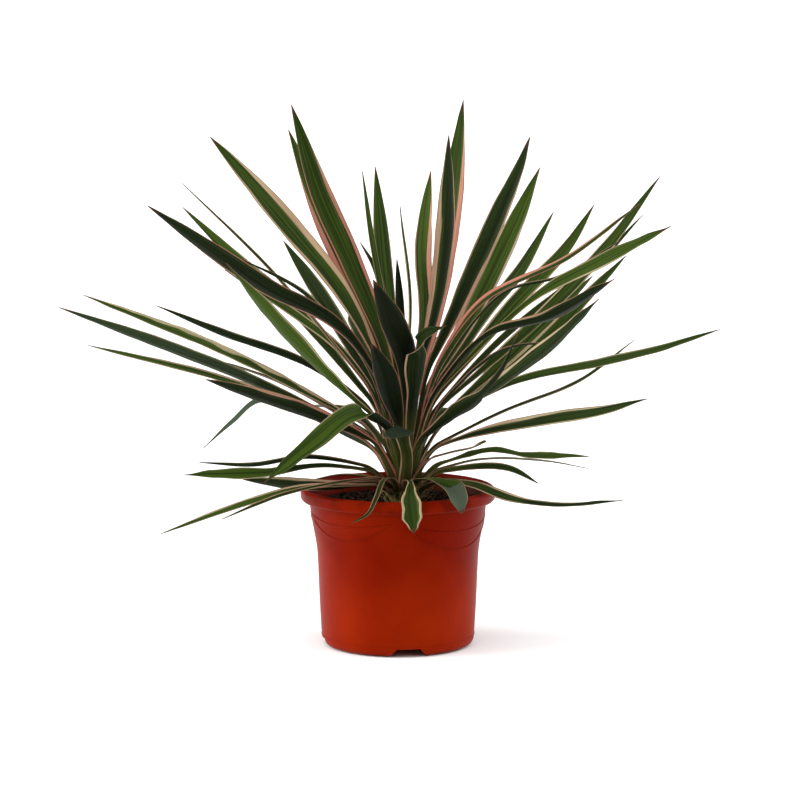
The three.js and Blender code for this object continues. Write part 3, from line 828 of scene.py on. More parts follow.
LEAVES = [
    Leaf("leaf_01", 0.017, -45, 0.002, (0.1, 0.12, 0, 0.62),
         (-0.152, -0.038, 0.268), (-0.321, -0.075, 0.339)),
    Leaf("leaf_02", 0.014, 35, 0.005, (0.6, 0.25, 0.05, 0.95),
         (-0.153, 0.03, 0.275), (-0.31, 0.06, 0.336)),
    Leaf("leaf_03", 0.013, 25, -0.003, (0.5, 0.5, 0.2, 0.85),
         (-0.142, -0.01, 0.251), (-0.299, -0.02, 0.296)),
    Leaf("leaf_04", 0.015, -35, 0.004, (0.1, 0.14, 0, 0.5),
         (-0.084, -0.023, 0.275), (-0.169, -0.045, 0.31), (-0.23, -0.06, 0.339)),
    Leaf("leaf_05", 0.009, -5, 0, (0.2, 0.2, 0.1, 0.5), (-0.115, 0.057, 0.248), (-0.206, 0.1, 0.273)),
    Leaf("leaf_06", 0.026, 30, 0.003, (0.42, 0.46, 0.3, 0.75),
         (-0.051, 0.041, 0.333), (-0.106, 0.081, 0.398), (-0.188, 0.14, 0.486)),
    Leaf("leaf_07", 0.021, -45, 0.003, (0.08, 0.28, 0.7, 0.42),
         (-0.054, -0.038, 0.313), (-0.129, -0.085, 0.361), (-0.231, -0.15, 0.442)),
    Leaf("leaf_08", 0.016, 25, -0.003, (0.16, 0.16, 0, 1.05),
         (-0.106, 0.085, 0.321), (-0.162, 0.127, 0.364), (-0.218, 0.17, 0.413)),
    Leaf("leaf_09", 0.008, 10, -0.002, (0.5, 0.5, 0.25, 0.55),
         (-0.114, 0.018, 0.353), (-0.21, 0.035, 0.448)),
    Leaf("leaf_10", 0.010, -30, -0.001, (0.15, 0.15, 0, 0.5),
         (-0.084, -0.004, 0.338), (-0.152, -0.008, 0.379)),
    Leaf("leaf_11", 0.018, 20, 0.002, (0.14, 0.18, 0, 0.6), (-0.067, 0.118, 0.311), (-0.117, 0.2, 0.376)),
    Leaf("leaf_12", 0.019, -20, 0.003, (0.06, 0.2, 0, 1.6),
         (-0.054, -0.1, 0.266), (-0.098, -0.172, 0.322), (-0.153, -0.262, 0.4)),
    Leaf("leaf_13", 0.025, 15, -0.004, (0.16, 0.34, 0.8, 0.85),
         (-0.017, 0.05, 0.297), (-0.048, 0.085, 0.368), (-0.079, 0.1, 0.437), (-0.106, 0.115, 0.52)),
    Leaf("leaf_14", 0.023, 15, -0.002, (0.5, 0.15, 1, 0.9),
         (-0.032, 0.09, 0.318), (-0.067, 0.13, 0.385), (-0.111, 0.18, 0.491)),
    Leaf("leaf_15", 0.018, 0, 0, (0.12, 0.16, 0, 0.85), (-0.012, 0.1, 0.336), (-0.023, 0.17, 0.454)),
    Leaf("leaf_16", 0.027, 0, 0.002, (0.07, 0.08, 0.3, 0.25),
         (0.008, -0.05, 0.281), (-0.006, -0.095, 0.328), (-0.023, -0.12, 0.37)),
    Leaf("leaf_17", 0.025, 0, 0, (0.06, 0.09, 0.3, 0.25),
         (-0.005, -0.055, 0.242), (-0.014, -0.088, 0.279), (-0.025, -0.11, 0.309)),
    Leaf("leaf_18", 0.026, 0, -0.003, (0.1, 0.6, 0.85, 0.8),
         (0.037, 0.055, 0.312), (0.054, 0.09, 0.412), (0.065, 0.12, 0.524)),
    Leaf("leaf_19", 0.024, 0, 0.004, (0.42, 0.25, 0.35, 0.55),
         (0.037, -0.04, 0.333), (0.0475, -0.06, 0.417), (0.048, -0.075, 0.502)),
    Leaf("leaf_20", 0.026, 0, 0.004, (0.12, 0.95, 0.8, 0.95),
         (0.029, 0.02, 0.315), (0.028, 0.025, 0.381), (0.032, 0.035, 0.46)),
    Leaf("leaf_21", 0.024, -32, 0, (0.1, 0.5, 0.45, 0.6),
         (0.055, -0.027, 0.325), (0.092, -0.06, 0.413), (0.113, -0.078, 0.466), (0.124, -0.09, 0.502)),
    Leaf("leaf_22", 0.024, 20, 0.003, (0.22, 0.26, 0.15, 1.1),
         (0.072, 0.077, 0.311), (0.113, 0.125, 0.389), (0.143, 0.16, 0.454)),
    Leaf("leaf_23", 0.015, 20, 0, (0.16, 0.2, 0, 0.85),
         (0.085, 0.118, 0.306), (0.125, 0.177, 0.348), (0.16, 0.23, 0.403)),
    Leaf("leaf_24", 0.019, 25, -0.001, (0.16, 0.2, 0.2, 0.85),
         (0.111, 0.066, 0.32), (0.167, 0.101, 0.376), (0.196, 0.12, 0.42)),
    Leaf("leaf_25", 0.017, 35, 0, (0.2, 0.2, 0.1, 0.75),
         (0.145, 0.033, 0.321), (0.204, 0.047, 0.382), (0.257, 0.06, 0.453)),
    Leaf("leaf_26", 0.015, 25, 0, (0.7, 0.4, 0.85, 0.7),
         (0.08, -0.01, 0.334), (0.166, -0.021, 0.381), (0.232, -0.03, 0.434)),
    Leaf("leaf_27", 0.01, 20, -0.003, (0.2, 0.2, 0.1, 0.6),
         (0.098, 0.084, 0.284), (0.203, 0.165, 0.358), (0.25, 0.205, 0.402)),
    Leaf("leaf_28", 0.016, 60, 0.005, (0.14, 0.36, 0.1, 1.1),
         (0.127, -0.046, 0.342), (0.192, -0.078, 0.382), (0.255, -0.108, 0.419)),
    Leaf("leaf_29", 0.01, -15, 0.002, (0.2, 0.2, 0, 0.5),
         (0.1, 0.002, 0.342), (0.158, 0.004, 0.36), (0.217, 0.006, 0.396)),
    Leaf("leaf_30", 0.020, -30, -0.005, (0.16, 0.06, 0.3, 0.42),
         (0.079, -0.064, 0.307), (0.143, -0.121, 0.335), (0.199, -0.17, 0.376)),
    Leaf("leaf_31", 0.019, -30, 0.003, (0.3, 0.1, 0.1, 0.62),
         (0.097, -0.115, 0.273), (0.137, -0.165, 0.311), (0.182, -0.225, 0.364)),
    Leaf("leaf_32", 0.018, 25, -0.002, (0.16, 0.2, 0, 1),
         (0.103, 0.1, 0.259), (0.144, 0.143, 0.293), (0.199, 0.2, 0.34)),
    Leaf("leaf_33", 0.017, 30, 0.004, (0.36, 0.24, 0.1, 0.85),
         (0.112, 0.071, 0.26), (0.157, 0.102, 0.296), (0.23, 0.15, 0.366)),
    Leaf("leaf_34", 0.009, -15, -0.008, (0.2, 0.2, 0.3, 0.5),
         (0.099, -0.022, 0.29), (0.155, -0.034, 0.301)),
    Leaf("leaf_35", 0.021, -20, -0.004, (0.12, 0.06, 0.1, 0.42),
         (0.046, -0.075, 0.231), (0.073, -0.125, 0.258), (0.096, -0.15, 0.289), (0.111, -0.155, 0.324)),
    Leaf("leaf_36", 0.015, 25, -0.006, (0.2, 0.2, 0, 0.8),
         (0.101, 0.028, 0.248), (0.2, 0.06, 0.267), (0.26, 0.08, 0.279), (0.321, 0.1, 0.297)),
    Leaf("leaf_37", 0.009, 0, 0, (0.2, 0.2, 0.1, 0.6),
         (0.102, 0.062, 0.218), (0.183, 0.114, 0.243), (0.239, 0.15, 0.28)),
    Leaf("leaf_38", 0.017, 45, 0, (0.42, 0.42, 0.05, 0.55),
         (0.08, -0.039, 0.213), (0.146, -0.074, 0.231), (0.192, -0.098, 0.242), (0.234, -0.12, 0.258)),
    Leaf("leaf_39", 0.013, 20, 0, (0.45, 0.45, 0.15, 0.75),
         (0.051, -0.05, 0.196), (0.07, -0.08, 0.205), (0.083, -0.1, 0.214)),
    Leaf("leaf_40", 0.012, 20, 0, (0.14, 0.16, 0, 1.6),
         (0.057, 0.017, 0.179), (0.091, 0.028, 0.185), (0.131, 0.041, 0.178), (0.189, 0.06, 0.175)),
    Leaf("leaf_41", 0.011, 30, 0, (0.2, 0.2, 0, 0.75),
         (0.071, -0.025, 0.177), (0.107, -0.039, 0.178), (0.135, -0.05, 0.166)),
    Leaf("leaf_42", 0.013, 30, 0, (0.32, 0.25, 0, 0.8),
         (0.07, -0.041, 0.163), (0.108, -0.065, 0.153), (0.155, -0.094, 0.152), (0.211, -0.13, 0.163)),
    Leaf("leaf_43", 0.015, 0, -0.002, (0.05, 0.05, 0, 1.0),
         (0.027, -0.05, 0.17), (0.041, -0.08, 0.171), (0.053, -0.099, 0.165), (0.06, -0.107, 0.147)),
    Leaf("leaf_44", 0.021, 0, 0.003, (0.34, 0.26, 0, 0.8),
         (0.011, -0.06, 0.169), (0.012, -0.095, 0.173), (0.012, -0.118, 0.161), (0.015, -0.126, 0.131)),
    Leaf("leaf_45", 0.0055, 0, -0.002, (0.3, 0.3, 0.2, 0.75),
         (-0.013, -0.06, 0.171), (-0.021, -0.096, 0.158), (-0.028, -0.104, 0.146),
         (-0.044, -0.106, 0.137)),
    Leaf("leaf_46", 0.016, 0, 0, (0.16, 0.16, 0, 0.6),
         (0.008, -0.042, 0.195), (0, -0.058, 0.222), (-0.002, -0.064, 0.224), (0.003, -0.084, 0.216)),
    Leaf("leaf_47", 0.02, 0, -0.006, (0.08, 0.08, 0, 1.05),
         (-0.016, -0.065, 0.228), (-0.044, -0.11, 0.242), (-0.081, -0.14, 0.218), (-0.125, -0.15, 0.183)),
    Leaf("leaf_48", 0.012, 70, 0, (0.05, 0.05, 0, 0.75),
         (-0.134, 0.085, 0.2285), (-0.165, 0.098, 0.2045), (-0.195, 0.11, 0.176)),
    Leaf("leaf_49", 0.018, -50, -0.003, (0.3, 0.06, 0.5, 0.42),
         (-0.073, -0.06, 0.231), (-0.179, -0.14, 0.279)),
    Leaf("leaf_50", 0.011, -35, 0, (0.14, 0.14, 0, 0.5),
         (-0.084, -0.027, 0.187), (-0.14, -0.044, 0.182), (-0.19, -0.06, 0.188)),
    Leaf("leaf_51", 0.015, 45, 0, (0.14, 0.2, 0, 1.1),
         (-0.074, -0.043, 0.182), (-0.13, -0.073, 0.179), (-0.201, -0.11, 0.184)),
    Leaf("leaf_52", 0.015, -60, 0, (0.3, 0.1, 0, 0.5),
         (-0.073, -0.062, 0.165), (-0.145, -0.125, 0.182)),
    Leaf("leaf_53", 0.01, 25, -0.005, (0.5, 0.4, 0.1, 1),
         (-0.091, -0.098, 0.169), (-0.146, -0.14, 0.16), (-0.219, -0.185, 0.141)),
    Leaf("leaf_54", 0.021, 0, -0.012, (0.22, 0.08, 0.1, 0.5),
         (0.014, -0.033, 0.242), (0.018, -0.067, 0.287), (0.025, -0.084, 0.313), (0.046, -0.086, 0.323)),
    Leaf("leaf_55", 0.02, 0, 0, (0.2, 0.2, 0.1, 0.8), (-0.034, 0.12, 0.281), (-0.05, 0.262, 0.295)),
    Leaf("leaf_56", 0.02, 0, 0, (0.24, 0.2, 0.2, 0.8), (0.028, 0.13, 0.274), (0.043, 0.262, 0.269)),
    Leaf("leaf_57", 0.018, 0, 0, (0.2, 0.2, 0.1, 0.7), (-0.024, 0.13, 0.223), (-0.021, 0.25, 0.201)),
]
YOUNG_LEAVES = [
    Leaf("young_leaf_01", 0.008, 0, 0, (0.16, 0.16, 0, 1), (-0.026, 0.04, 0.392), (-0.035, 0.06, 0.458)),
    Leaf("young_leaf_02", 0.008, 0, 0, (0.5, 0.2, 0, 0.6), (0.013, 0.004, 0.337), (0.002, 0.01, 0.429)),
    Leaf("young_leaf_03", 0.009, 0, 0, (0.12, 0.12, 0, 0.3),
         (0.003, -0.02, 0.311), (-0.001, -0.04, 0.382)),
    Leaf("young_leaf_04", 0.009, 0, 0, (0.2, 0.2, 0.1, 0.6),
         (-0.021, 0.035, 0.359), (-0.037, 0.05, 0.389)),
    Leaf("young_leaf_05", 0.014, 20, -0.008, (0.4, 0.2, 0.1, 0.85),
         (-0.056, 0.03, 0.283), (-0.095, 0.054, 0.311), (-0.172, 0.095, 0.357)),
    Leaf("young_leaf_06", 0.006, 0, 0, (0.2, 0.2, 0, 0.8),
         (0.08, 0.058, 0.172), (0.148, 0.1, 0.164), (0.192, 0.13, 0.152)),
    Leaf("young_leaf_07", 0.006, 0, 0, (0.2, 0.2, 0.1, 0.6),
         (-0.052, 0.02, 0.163), (-0.084, 0.022, 0.158)),
    Leaf("young_leaf_08", 0.008, 10, 0.005, (0.3, 0.3, 0.4, 0.6),
         (-0.05, -0.072, 0.171), (-0.107, -0.13, 0.168), (-0.163, -0.175, 0.153)),
    Leaf("young_leaf_09", 0.016, 0, 0, (0.2, 0.2, 0.1, 0.75),
         (0.045, 0.1, 0.212), (0.068, 0.205, 0.197)),
    Leaf("young_leaf_10", 0.016, 0, 0, (0.2, 0.2, 0.1, 0.75),
         (-0.048, 0.1, 0.212), (-0.098, 0.19, 0.208)),
]
print("leaves", len(LEAVES), "young leaves", len(YOUNG_LEAVES))

# %% [markdown]
# ### A blank leaf
#
# All blades are laid from one blank: a flat grid that runs from the stem to the tip, made solid, so
# that it has an upper and a lower face and a closed rim. Its own coordinates are then a map of any
# leaf: x is the share of the length, y runs across from margin to margin, and z tells the upper face
# from the lower one.

# %% Make the blank
STATIONS = 64
LANES = 10


def flat_blank(name, stations, lanes):
    """A solid strip from x 0 to 1 and from y -1 to 1, with its faces at z -1 and 1."""
    start_fresh()
    bpy.ops.mesh.primitive_grid_add(x_subdivisions=stations, y_subdivisions=lanes, size=2)
    blank = bpy.context.object
    blank.name = name
    bpy.ops.object.mode_set(mode="EDIT")
    bpy.ops.transform.translate(value=(1, 0, 0))
    bpy.ops.transform.resize(value=(0.5, 1, 1), center_override=(0, 0, 0))
    bpy.ops.object.mode_set(mode="OBJECT")
    apply_modifier(blank, "SOLIDIFY", thickness=2, offset=0)
    return blank


leaf_blank = flat_blank("leaf_blank", STATIONS, LANES)
print("blank", len(leaf_blank.data.vertices), "corners", len(leaf_blank.data.polygons), "faces")

# %% [markdown]
# ### The run of a leaf
#
# The measured line of a leaf starts on the stem's axis, steep leaves higher up than flat ones. A real
# leaf doesn't sprout there: its base clasps the stem lower down and climbs up it with the others, in
# a bundle that widens upwards. So each line is kept from where it leaves the bundle, and led down
# from there to a foot of its own: flat leaves outermost and lowest, steep ones further in. The blade
# is carried along the line and turned by its own angle in its first part. Most leaves widen and
# taper alike. Those that bend, fold or dried out have a list of widths of their own, and three twist.

# %% Measures of the bundle and of a blade
STEM_X = 0.006
STEM_MIDDLE = 0.175
BASE_LOW = 0.160
BASE_HIGH = 0.242
BUNDLE_REACH = 0.042
BUNDLE_TOP = 0.285
# How far out and how high the foot of a flat leaf and of a steep one stands.
FOOT_OUT = (0.0095, 0.0058)
FOOT_HEIGHT = (0.144, 0.170)
CLASP_WIDTH = 0.016
CLASP_LENGTH = 0.060
CLASP_RISE = 0.1
NECK_WIDTH = 0.0055
TIP_WIDTH = 0.0007
WIDE_FROM = 0.60
TAPER_FROM = 0.68
TAPER_POWER = 1.65
TURN_DONE = 0.4
FOLD = math.radians(21)
CLASP_FOLD = math.radians(40)
CLASP_FOLD_END = 0.3
# Along the middle of a blade, at its base and at its tip.
MID_THICKNESS = (0.0019, 0.0008)
EDGE_THICKNESS = 0.0004


def smooth(t):
    t = min(1, max(0, t))
    return t * t * (3 - 2 * t)


print("leaves leave the stem between", BASE_LOW, "and", BASE_HIGH)

# %% Widths and twists of single leaves
# The widths at some shares of the measured length.
WIDTHS = {
    "leaf_12": [(0, 0.006), (0.30, 0.007), (0.45, 0.013), (0.62, 0.019), (0.76, 0.016), (1, 0.001)],
    "leaf_26": [(0, 0.006), (0.22, 0.009), (0.42, 0.015), (0.55, 0.013), (0.70, 0.011), (0.85, 0.009),
                (1, 0.001)],
    "leaf_28": [(0, 0.006), (0.50, 0.007), (0.66, 0.014), (0.80, 0.016), (0.92, 0.009), (1, 0.001)],
    "leaf_30": [(0, 0.006), (0.42, 0.007), (0.60, 0.016), (0.76, 0.019), (0.90, 0.012), (1, 0.001)],
    "leaf_31": [(0, 0.006), (0.30, 0.007), (0.50, 0.015), (0.70, 0.018), (0.88, 0.010), (1, 0.001)],
    "leaf_35": [(0, 0.007), (0.25, 0.010), (0.40, 0.015), (0.53, 0.022), (0.61, 0.020), (0.71, 0.008),
                (1, 0.001)],
    "leaf_39": [(0, 0.005), (0.60, 0.004), (0.80, 0.004), (0.88, 0.010), (0.95, 0.009), (1, 0.003)],
    "leaf_42": [(0, 0.006), (0.25, 0.010), (0.45, 0.013), (0.60, 0.008), (0.86, 0.006), (1, 0.001)],
    "leaf_43": [(0, 0.007), (0.35, 0.009), (0.60, 0.014), (0.77, 0.028), (0.89, 0.023), (1, 0.007)],
    "leaf_44": [(0, 0.007), (0.62, 0.006), (0.72, 0.011), (0.83, 0.021), (0.90, 0.020), (0.96, 0.011),
                (1, 0.002)],
    "leaf_46": [(0, 0.010), (0.50, 0.013), (0.62, 0.016), (0.74, 0.029), (0.92, 0.031), (1, 0.023)],
    "leaf_47": [(0, 0.007), (0.30, 0.010), (0.45, 0.014), (0.54, 0.020), (0.70, 0.020), (0.86, 0.013),
                (1, 0.001)],
    "leaf_48": [(0, 0.006), (0.45, 0.008), (0.80, 0.006), (1, 0.001)],
    "leaf_51": [(0, 0.006), (0.45, 0.006), (0.60, 0.010), (0.75, 0.015), (0.88, 0.010), (1, 0.001)],
    "leaf_54": [(0, 0.008), (0.35, 0.013), (0.60, 0.022), (0.74, 0.022), (0.86, 0.012), (1, 0.001)],
}
# Where a twist starts and ends, and the angle before and after it in degrees.
TWISTS = {
    "leaf_46": (0.50, 0.70, 0, 14),
    "leaf_47": (0.36, 0.52, -40, 60),
    "leaf_54": (0.66, 0.84, 0, 110),
}


def half_width(leaf, s):
    """Half the blade's width at a share s of its measured length."""
    if leaf.name in WIDTHS:
        for (s0, w0), (s1, w1) in zip(WIDTHS[leaf.name], WIDTHS[leaf.name][1:]):
            if s <= s1:
                return (w0 + (w1 - w0) * smooth((s - s0) / (s1 - s0))) / 2
    growing = NECK_WIDTH + (leaf.width - NECK_WIDTH) * smooth(s / WIDE_FROM)
    if s < TAPER_FROM:
        return growing / 2
    taper = 1 - ((s - TAPER_FROM) / (1 - TAPER_FROM)) ** TAPER_POWER
    return (TIP_WIDTH + (leaf.width - TIP_WIDTH) * taper) / 2


print("with widths of their own", len(WIDTHS), "and twisted", len(TWISTS))

# %% Stations along a leaf
def climb(foot, free, steps=30):
    """A bend that rises from a foot and runs into the start of a line."""
    reach = (free[0] - foot).length
    leaving = ((free[0] - foot).normalized() + Vector((0, 0, CLASP_RISE))).normalized() * reach
    arriving = (free[1] - free[0]).normalized() * reach
    line = []
    for step in range(steps):
        t = step / steps
        line.append(
            foot * (1 - 3 * t**2 + 2 * t**3)
            + leaving * (t - 2 * t**2 + t**3)
            + free[0] * (3 * t**2 - 2 * t**3)
            + arriving * (t**3 - t**2)
        )
    return line + free


def middle_line(leaf):
    """A leaf's middles, its length, its measured line's length, and the way that it leaves the stem."""
    x, y, z = leaf.points[0]
    rise = max(0, math.atan2(z - STEM_MIDDLE, math.hypot(x - STEM_X, y)) / (math.pi / 2))
    height = BASE_LOW + (BASE_HIGH - BASE_LOW) * rise + leaf.lift
    measured = catmull_rom([Vector((STEM_X, 0, height)), *leaf.points], 40)
    free = [p for p in measured if math.hypot(p.x - STEM_X, p.y) > BUNDLE_REACH or p.z > BUNDLE_TOP]
    away = Vector((free[0].x - STEM_X, free[0].y, 0)).normalized()
    foot = away * (FOOT_OUT[0] + (FOOT_OUT[1] - FOOT_OUT[0]) * rise)
    foot += Vector((STEM_X, 0, FOOT_HEIGHT[0] + (FOOT_HEIGHT[1] - FOOT_HEIGHT[0]) * rise))
    spaced, length = evenly(climb(foot, free), STATIONS)
    return spaced, length, evenly(measured, 1)[1], away


def stations(leaf):
    """For each station: its middle, the ways across and up, its half width and its two shares."""
    middles, length, measured_length, away = middle_line(leaf)
    side = Vector((-away.y, away.x, 0))
    sense = 1 if leaf.points[-1].x < STEM_X else -1
    twist_from, twist_to, first, last = TWISTS.get(leaf.name, (0, 1, 0, 0))
    made = []
    for i, middle in enumerate(middles):
        s = i / STATIONS
        measured = 1 - (1 - s) * length / measured_length
        along = (middles[min(i + 1, STATIONS)] - middles[max(i - 1, 0)]).normalized()
        side = (side - along * side.dot(along)).normalized()
        twist = first + (last - first) * smooth((measured - twist_from) / (twist_to - twist_from))
        angle = -sense * (leaf.turn + math.radians(twist)) * smooth(measured / TURN_DONE)
        across = Matrix.Rotation(angle, 3, along) @ side
        clasping = smooth(1 - s * length / CLASP_LENGTH) * min(1, leaf.width / CLASP_WIDTH)
        half = half_width(leaf, max(0, measured))
        half += (CLASP_WIDTH / 2 - half) * clasping
        made.append((middle, across, along.cross(across), half, s, measured))
    return made, length


print("first leaf is", round(stations(LEAVES[0])[1], 3), "m long")

# %% [markdown]
# ### Laying a blade
#
# Moving each corner of the blank to its place on the leaf gives the finished form. The margins
# ripple a little, each leaf in its own way, as tough leaves do that dried in a draught. A few leaves
# need more: ragged margins, an end that is folded into a ridge like a small roof, painted light and
# shade that change at a bend, or a back that shows its bluish bloom. What the finish needs to know
# is written on the mesh at the same time: how far along and across a point lies, which face it is
# on, how wide the pale margin is there, the leaf's own pink, and the brightness of its green, which
# is partly its own tone and partly painted light and shade.

# %% What single leaves do
# Dried leaves, and how high their margins ripple. These are ragged too, and pale up to the tip.
WAVY = {"leaf_44": 0.0024, "leaf_40": 0.0022, "leaf_43": 0.0012, "leaf_02": 0.0012}
# Between which shares the channel turns over into a ridge, and how steep the ridge is.
RIDGED = {"leaf_46": (0.58, 0.72, 2.4)}
# At which share the painted light and shade on a leaf change, and how bright its green is before and
# after.
SHADED = {"leaf_47": (0.46, 0.35, 1), "leaf_46": (0.66, 1, 0.6), "leaf_42": (0.55, 1, 0.5),
          "leaf_51": (0.55, 0.4, 1)}
# From which share both faces look like the back, and how much bloom they have. With -1 both are as
# green as the upper face: on leaf_12 this is painted light, a back shown as bright as a lit front.
BLOOMED = {"leaf_43": (0.78, 0.85), "leaf_46": (0.66, 0.28), "leaf_48": (0, 0.5), "leaf_01": (0.45, 0.12),
           "leaf_12": (0, -1)}
print("ragged", len(WAVY), "ridged", len(RIDGED), "shaded", len(SHADED), "bloomed", len(BLOOMED))

# %% Cross section and pale margins
CHANNEL_POWER = 1.25
THINNING_POWER = 0.8
UNEVENNESS = 0.7
FADE_FROM = 0.72
FADE_OVER = 0.26


def section(v, half, s, ripple):
    """Where a lane v lies in a leaf's cross section: how far across, how far up, and how thick."""
    fold = FOLD + (CLASP_FOLD - FOLD) * (1 - smooth(s / CLASP_FOLD_END))
    up = half * math.sin(fold) * abs(v) ** CHANNEL_POWER + ripple * v * v
    middle = MID_THICKNESS[0] + (MID_THICKNESS[1] - MID_THICKNESS[0]) * s
    thick = EDGE_THICKNESS + (middle - EDGE_THICKNESS) * (1 - abs(v)) ** THINNING_POWER
    return half * math.cos(fold) * v, up, thick


def pale_share(leaf, v, s, upper_is_positive, own):
    """Share of the half width that is pale on this side: uneven, and less towards the tip."""
    upper = (v > 0) == upper_is_positive
    margin = leaf.upper if upper else leaf.lower
    pace = 16 if leaf.name in WAVY else 5
    uneven = 1 + UNEVENNESS * noise.noise(Vector((s * pace, 3 if upper else -3, own)))
    fading = 0 if leaf.name in WAVY else 0.7
    return margin * (1.25 - 0.5 * s) * uneven * (1 - fading * smooth((s - FADE_FROM) / FADE_OVER))


print("a blade's thickness at its middle", MID_THICKNESS, "and at its edge", EDGE_THICKNESS)

# %% Lay a blade
RIPPLE = 0.0007
RIPPLE_AT_WIDTH = 0.018
RIPPLE_PACE = 42
RAGGED_PACE = 90
RAGGED_SHARE = 60
RIDGE_SINKS_FROM = 0.84
SHADE_BLEND = 0.06
# The margin that counts as the upper one lies this way.
UPPER = Vector((-0.4, 0, 0.9))
MARKS = ("along", "share", "across", "under", "margin", "pink", "tone", "seed")


def lay_leaf(leaf, number):
    """A finished blade for one row of the list."""
    rings, length = stations(leaf)
    piece = copy_of(leaf_blank, f"{leaf.name}_blade")
    middle_across = rings[STATIONS // 2][1]
    upper_is_positive = middle_across.dot(UPPER) > 0
    height = WAVY.get(leaf.name, RIPPLE * leaf.width / RIPPLE_AT_WIDTH)
    ridge_from, ridge_to, ridge = RIDGED.get(leaf.name, (1, 2, 0))
    shade_at, before, after = SHADED.get(leaf.name, (0, 1, 1))
    bloom_from, bloom = BLOOMED.get(leaf.name, (2, 0))
    marks = {name: [] for name in MARKS}
    for vertex in piece.data.vertices:
        x, v, layer = vertex.co
        middle, across, up, half, s, measured = rings[round(x * STATIONS)]
        wave = noise.noise(Vector((s * length * RIPPLE_PACE, math.copysign(3, v), number * 5.7)))
        ripple = height * wave * smooth(s / 0.2) * min(1, half / 0.003)
        if leaf.name in WAVY:
            spot = Vector((s * length * RAGGED_PACE, math.copysign(8, v), number))
            half *= 1 + RAGGED_SHARE * height * noise.noise(spot)
        out, rise, thick = section(v, half, s, ripple)
        ridged = smooth((measured - ridge_from) / (ridge_to - ridge_from))
        rise *= 1 - ridge * ridged * (1 - 0.6 * smooth((measured - RIDGE_SINKS_FROM) / 0.14))
        vertex.co = middle + across * out + up * (rise + layer * thick / 2)
        under = 1 + bloom if measured > bloom_from else (1 - layer) / 2
        shade = before + (after - before) * smooth((measured - shade_at) / SHADE_BLEND + 0.5)
        # A ridged end is blunt and has no brown point, so its share stops before the tip's.
        share = 0.94 * s if leaf.name in RIDGED else s
        values = (
            s * length, share, v, under, pale_share(leaf, v, s, upper_is_positive, number * 2.1),
            leaf.pink, leaf.tone * shade, number * 0.37,
        )
        for name, value in zip(MARKS, values):
            marks[name].append(value)
    write_marks(piece, marks)
    shade_smooth(piece)
    return piece


print("marks on each leaf:", ", ".join(MARKS))

# %% [markdown]
# ### Leaf finish
#
# The blade is tough and satin, dark green with fine lengthwise streaks. Along each margin runs a
# cream band, pink where the leaf is young or lies in the heart of the rosette, with a greyer green
# stripe beside it and a thread of brown at the very edge. The stripes follow the leaf, so they are
# drawn from the marks on the mesh and not from the place in space. The underside is duller, and a
# few leaves turn up a back with a bluish bloom. Towards the stem, where leaves shade each other, the
# green is darker. The clasping bases are olive with withered streaks, and each tip is a brown point.

# %% Colours of a leaf
GREEN_DARK = (0.0035, 0.0080, 0.0020)
GREEN_BRIGHT = (0.037, 0.067, 0.0055)
GREEN_GREY = (0.070, 0.090, 0.028)
UNDER_DARK = (0.0035, 0.0060, 0.0016)
UNDER_BRIGHT = (0.027, 0.052, 0.0085)
BLOOM = (0.085, 0.115, 0.080)
CREAM = (0.375, 0.32, 0.19)
TAN_AND_SHADED_CREAM = (0.12, 0.060, 0.027)
MARGIN_GREY = (0.16, 0.125, 0.070)
PINK = (0.40, 0.135, 0.100)
EDGE_BROWN = (0.08, 0.031, 0.014)
OLIVE = (0.078, 0.086, 0.018)


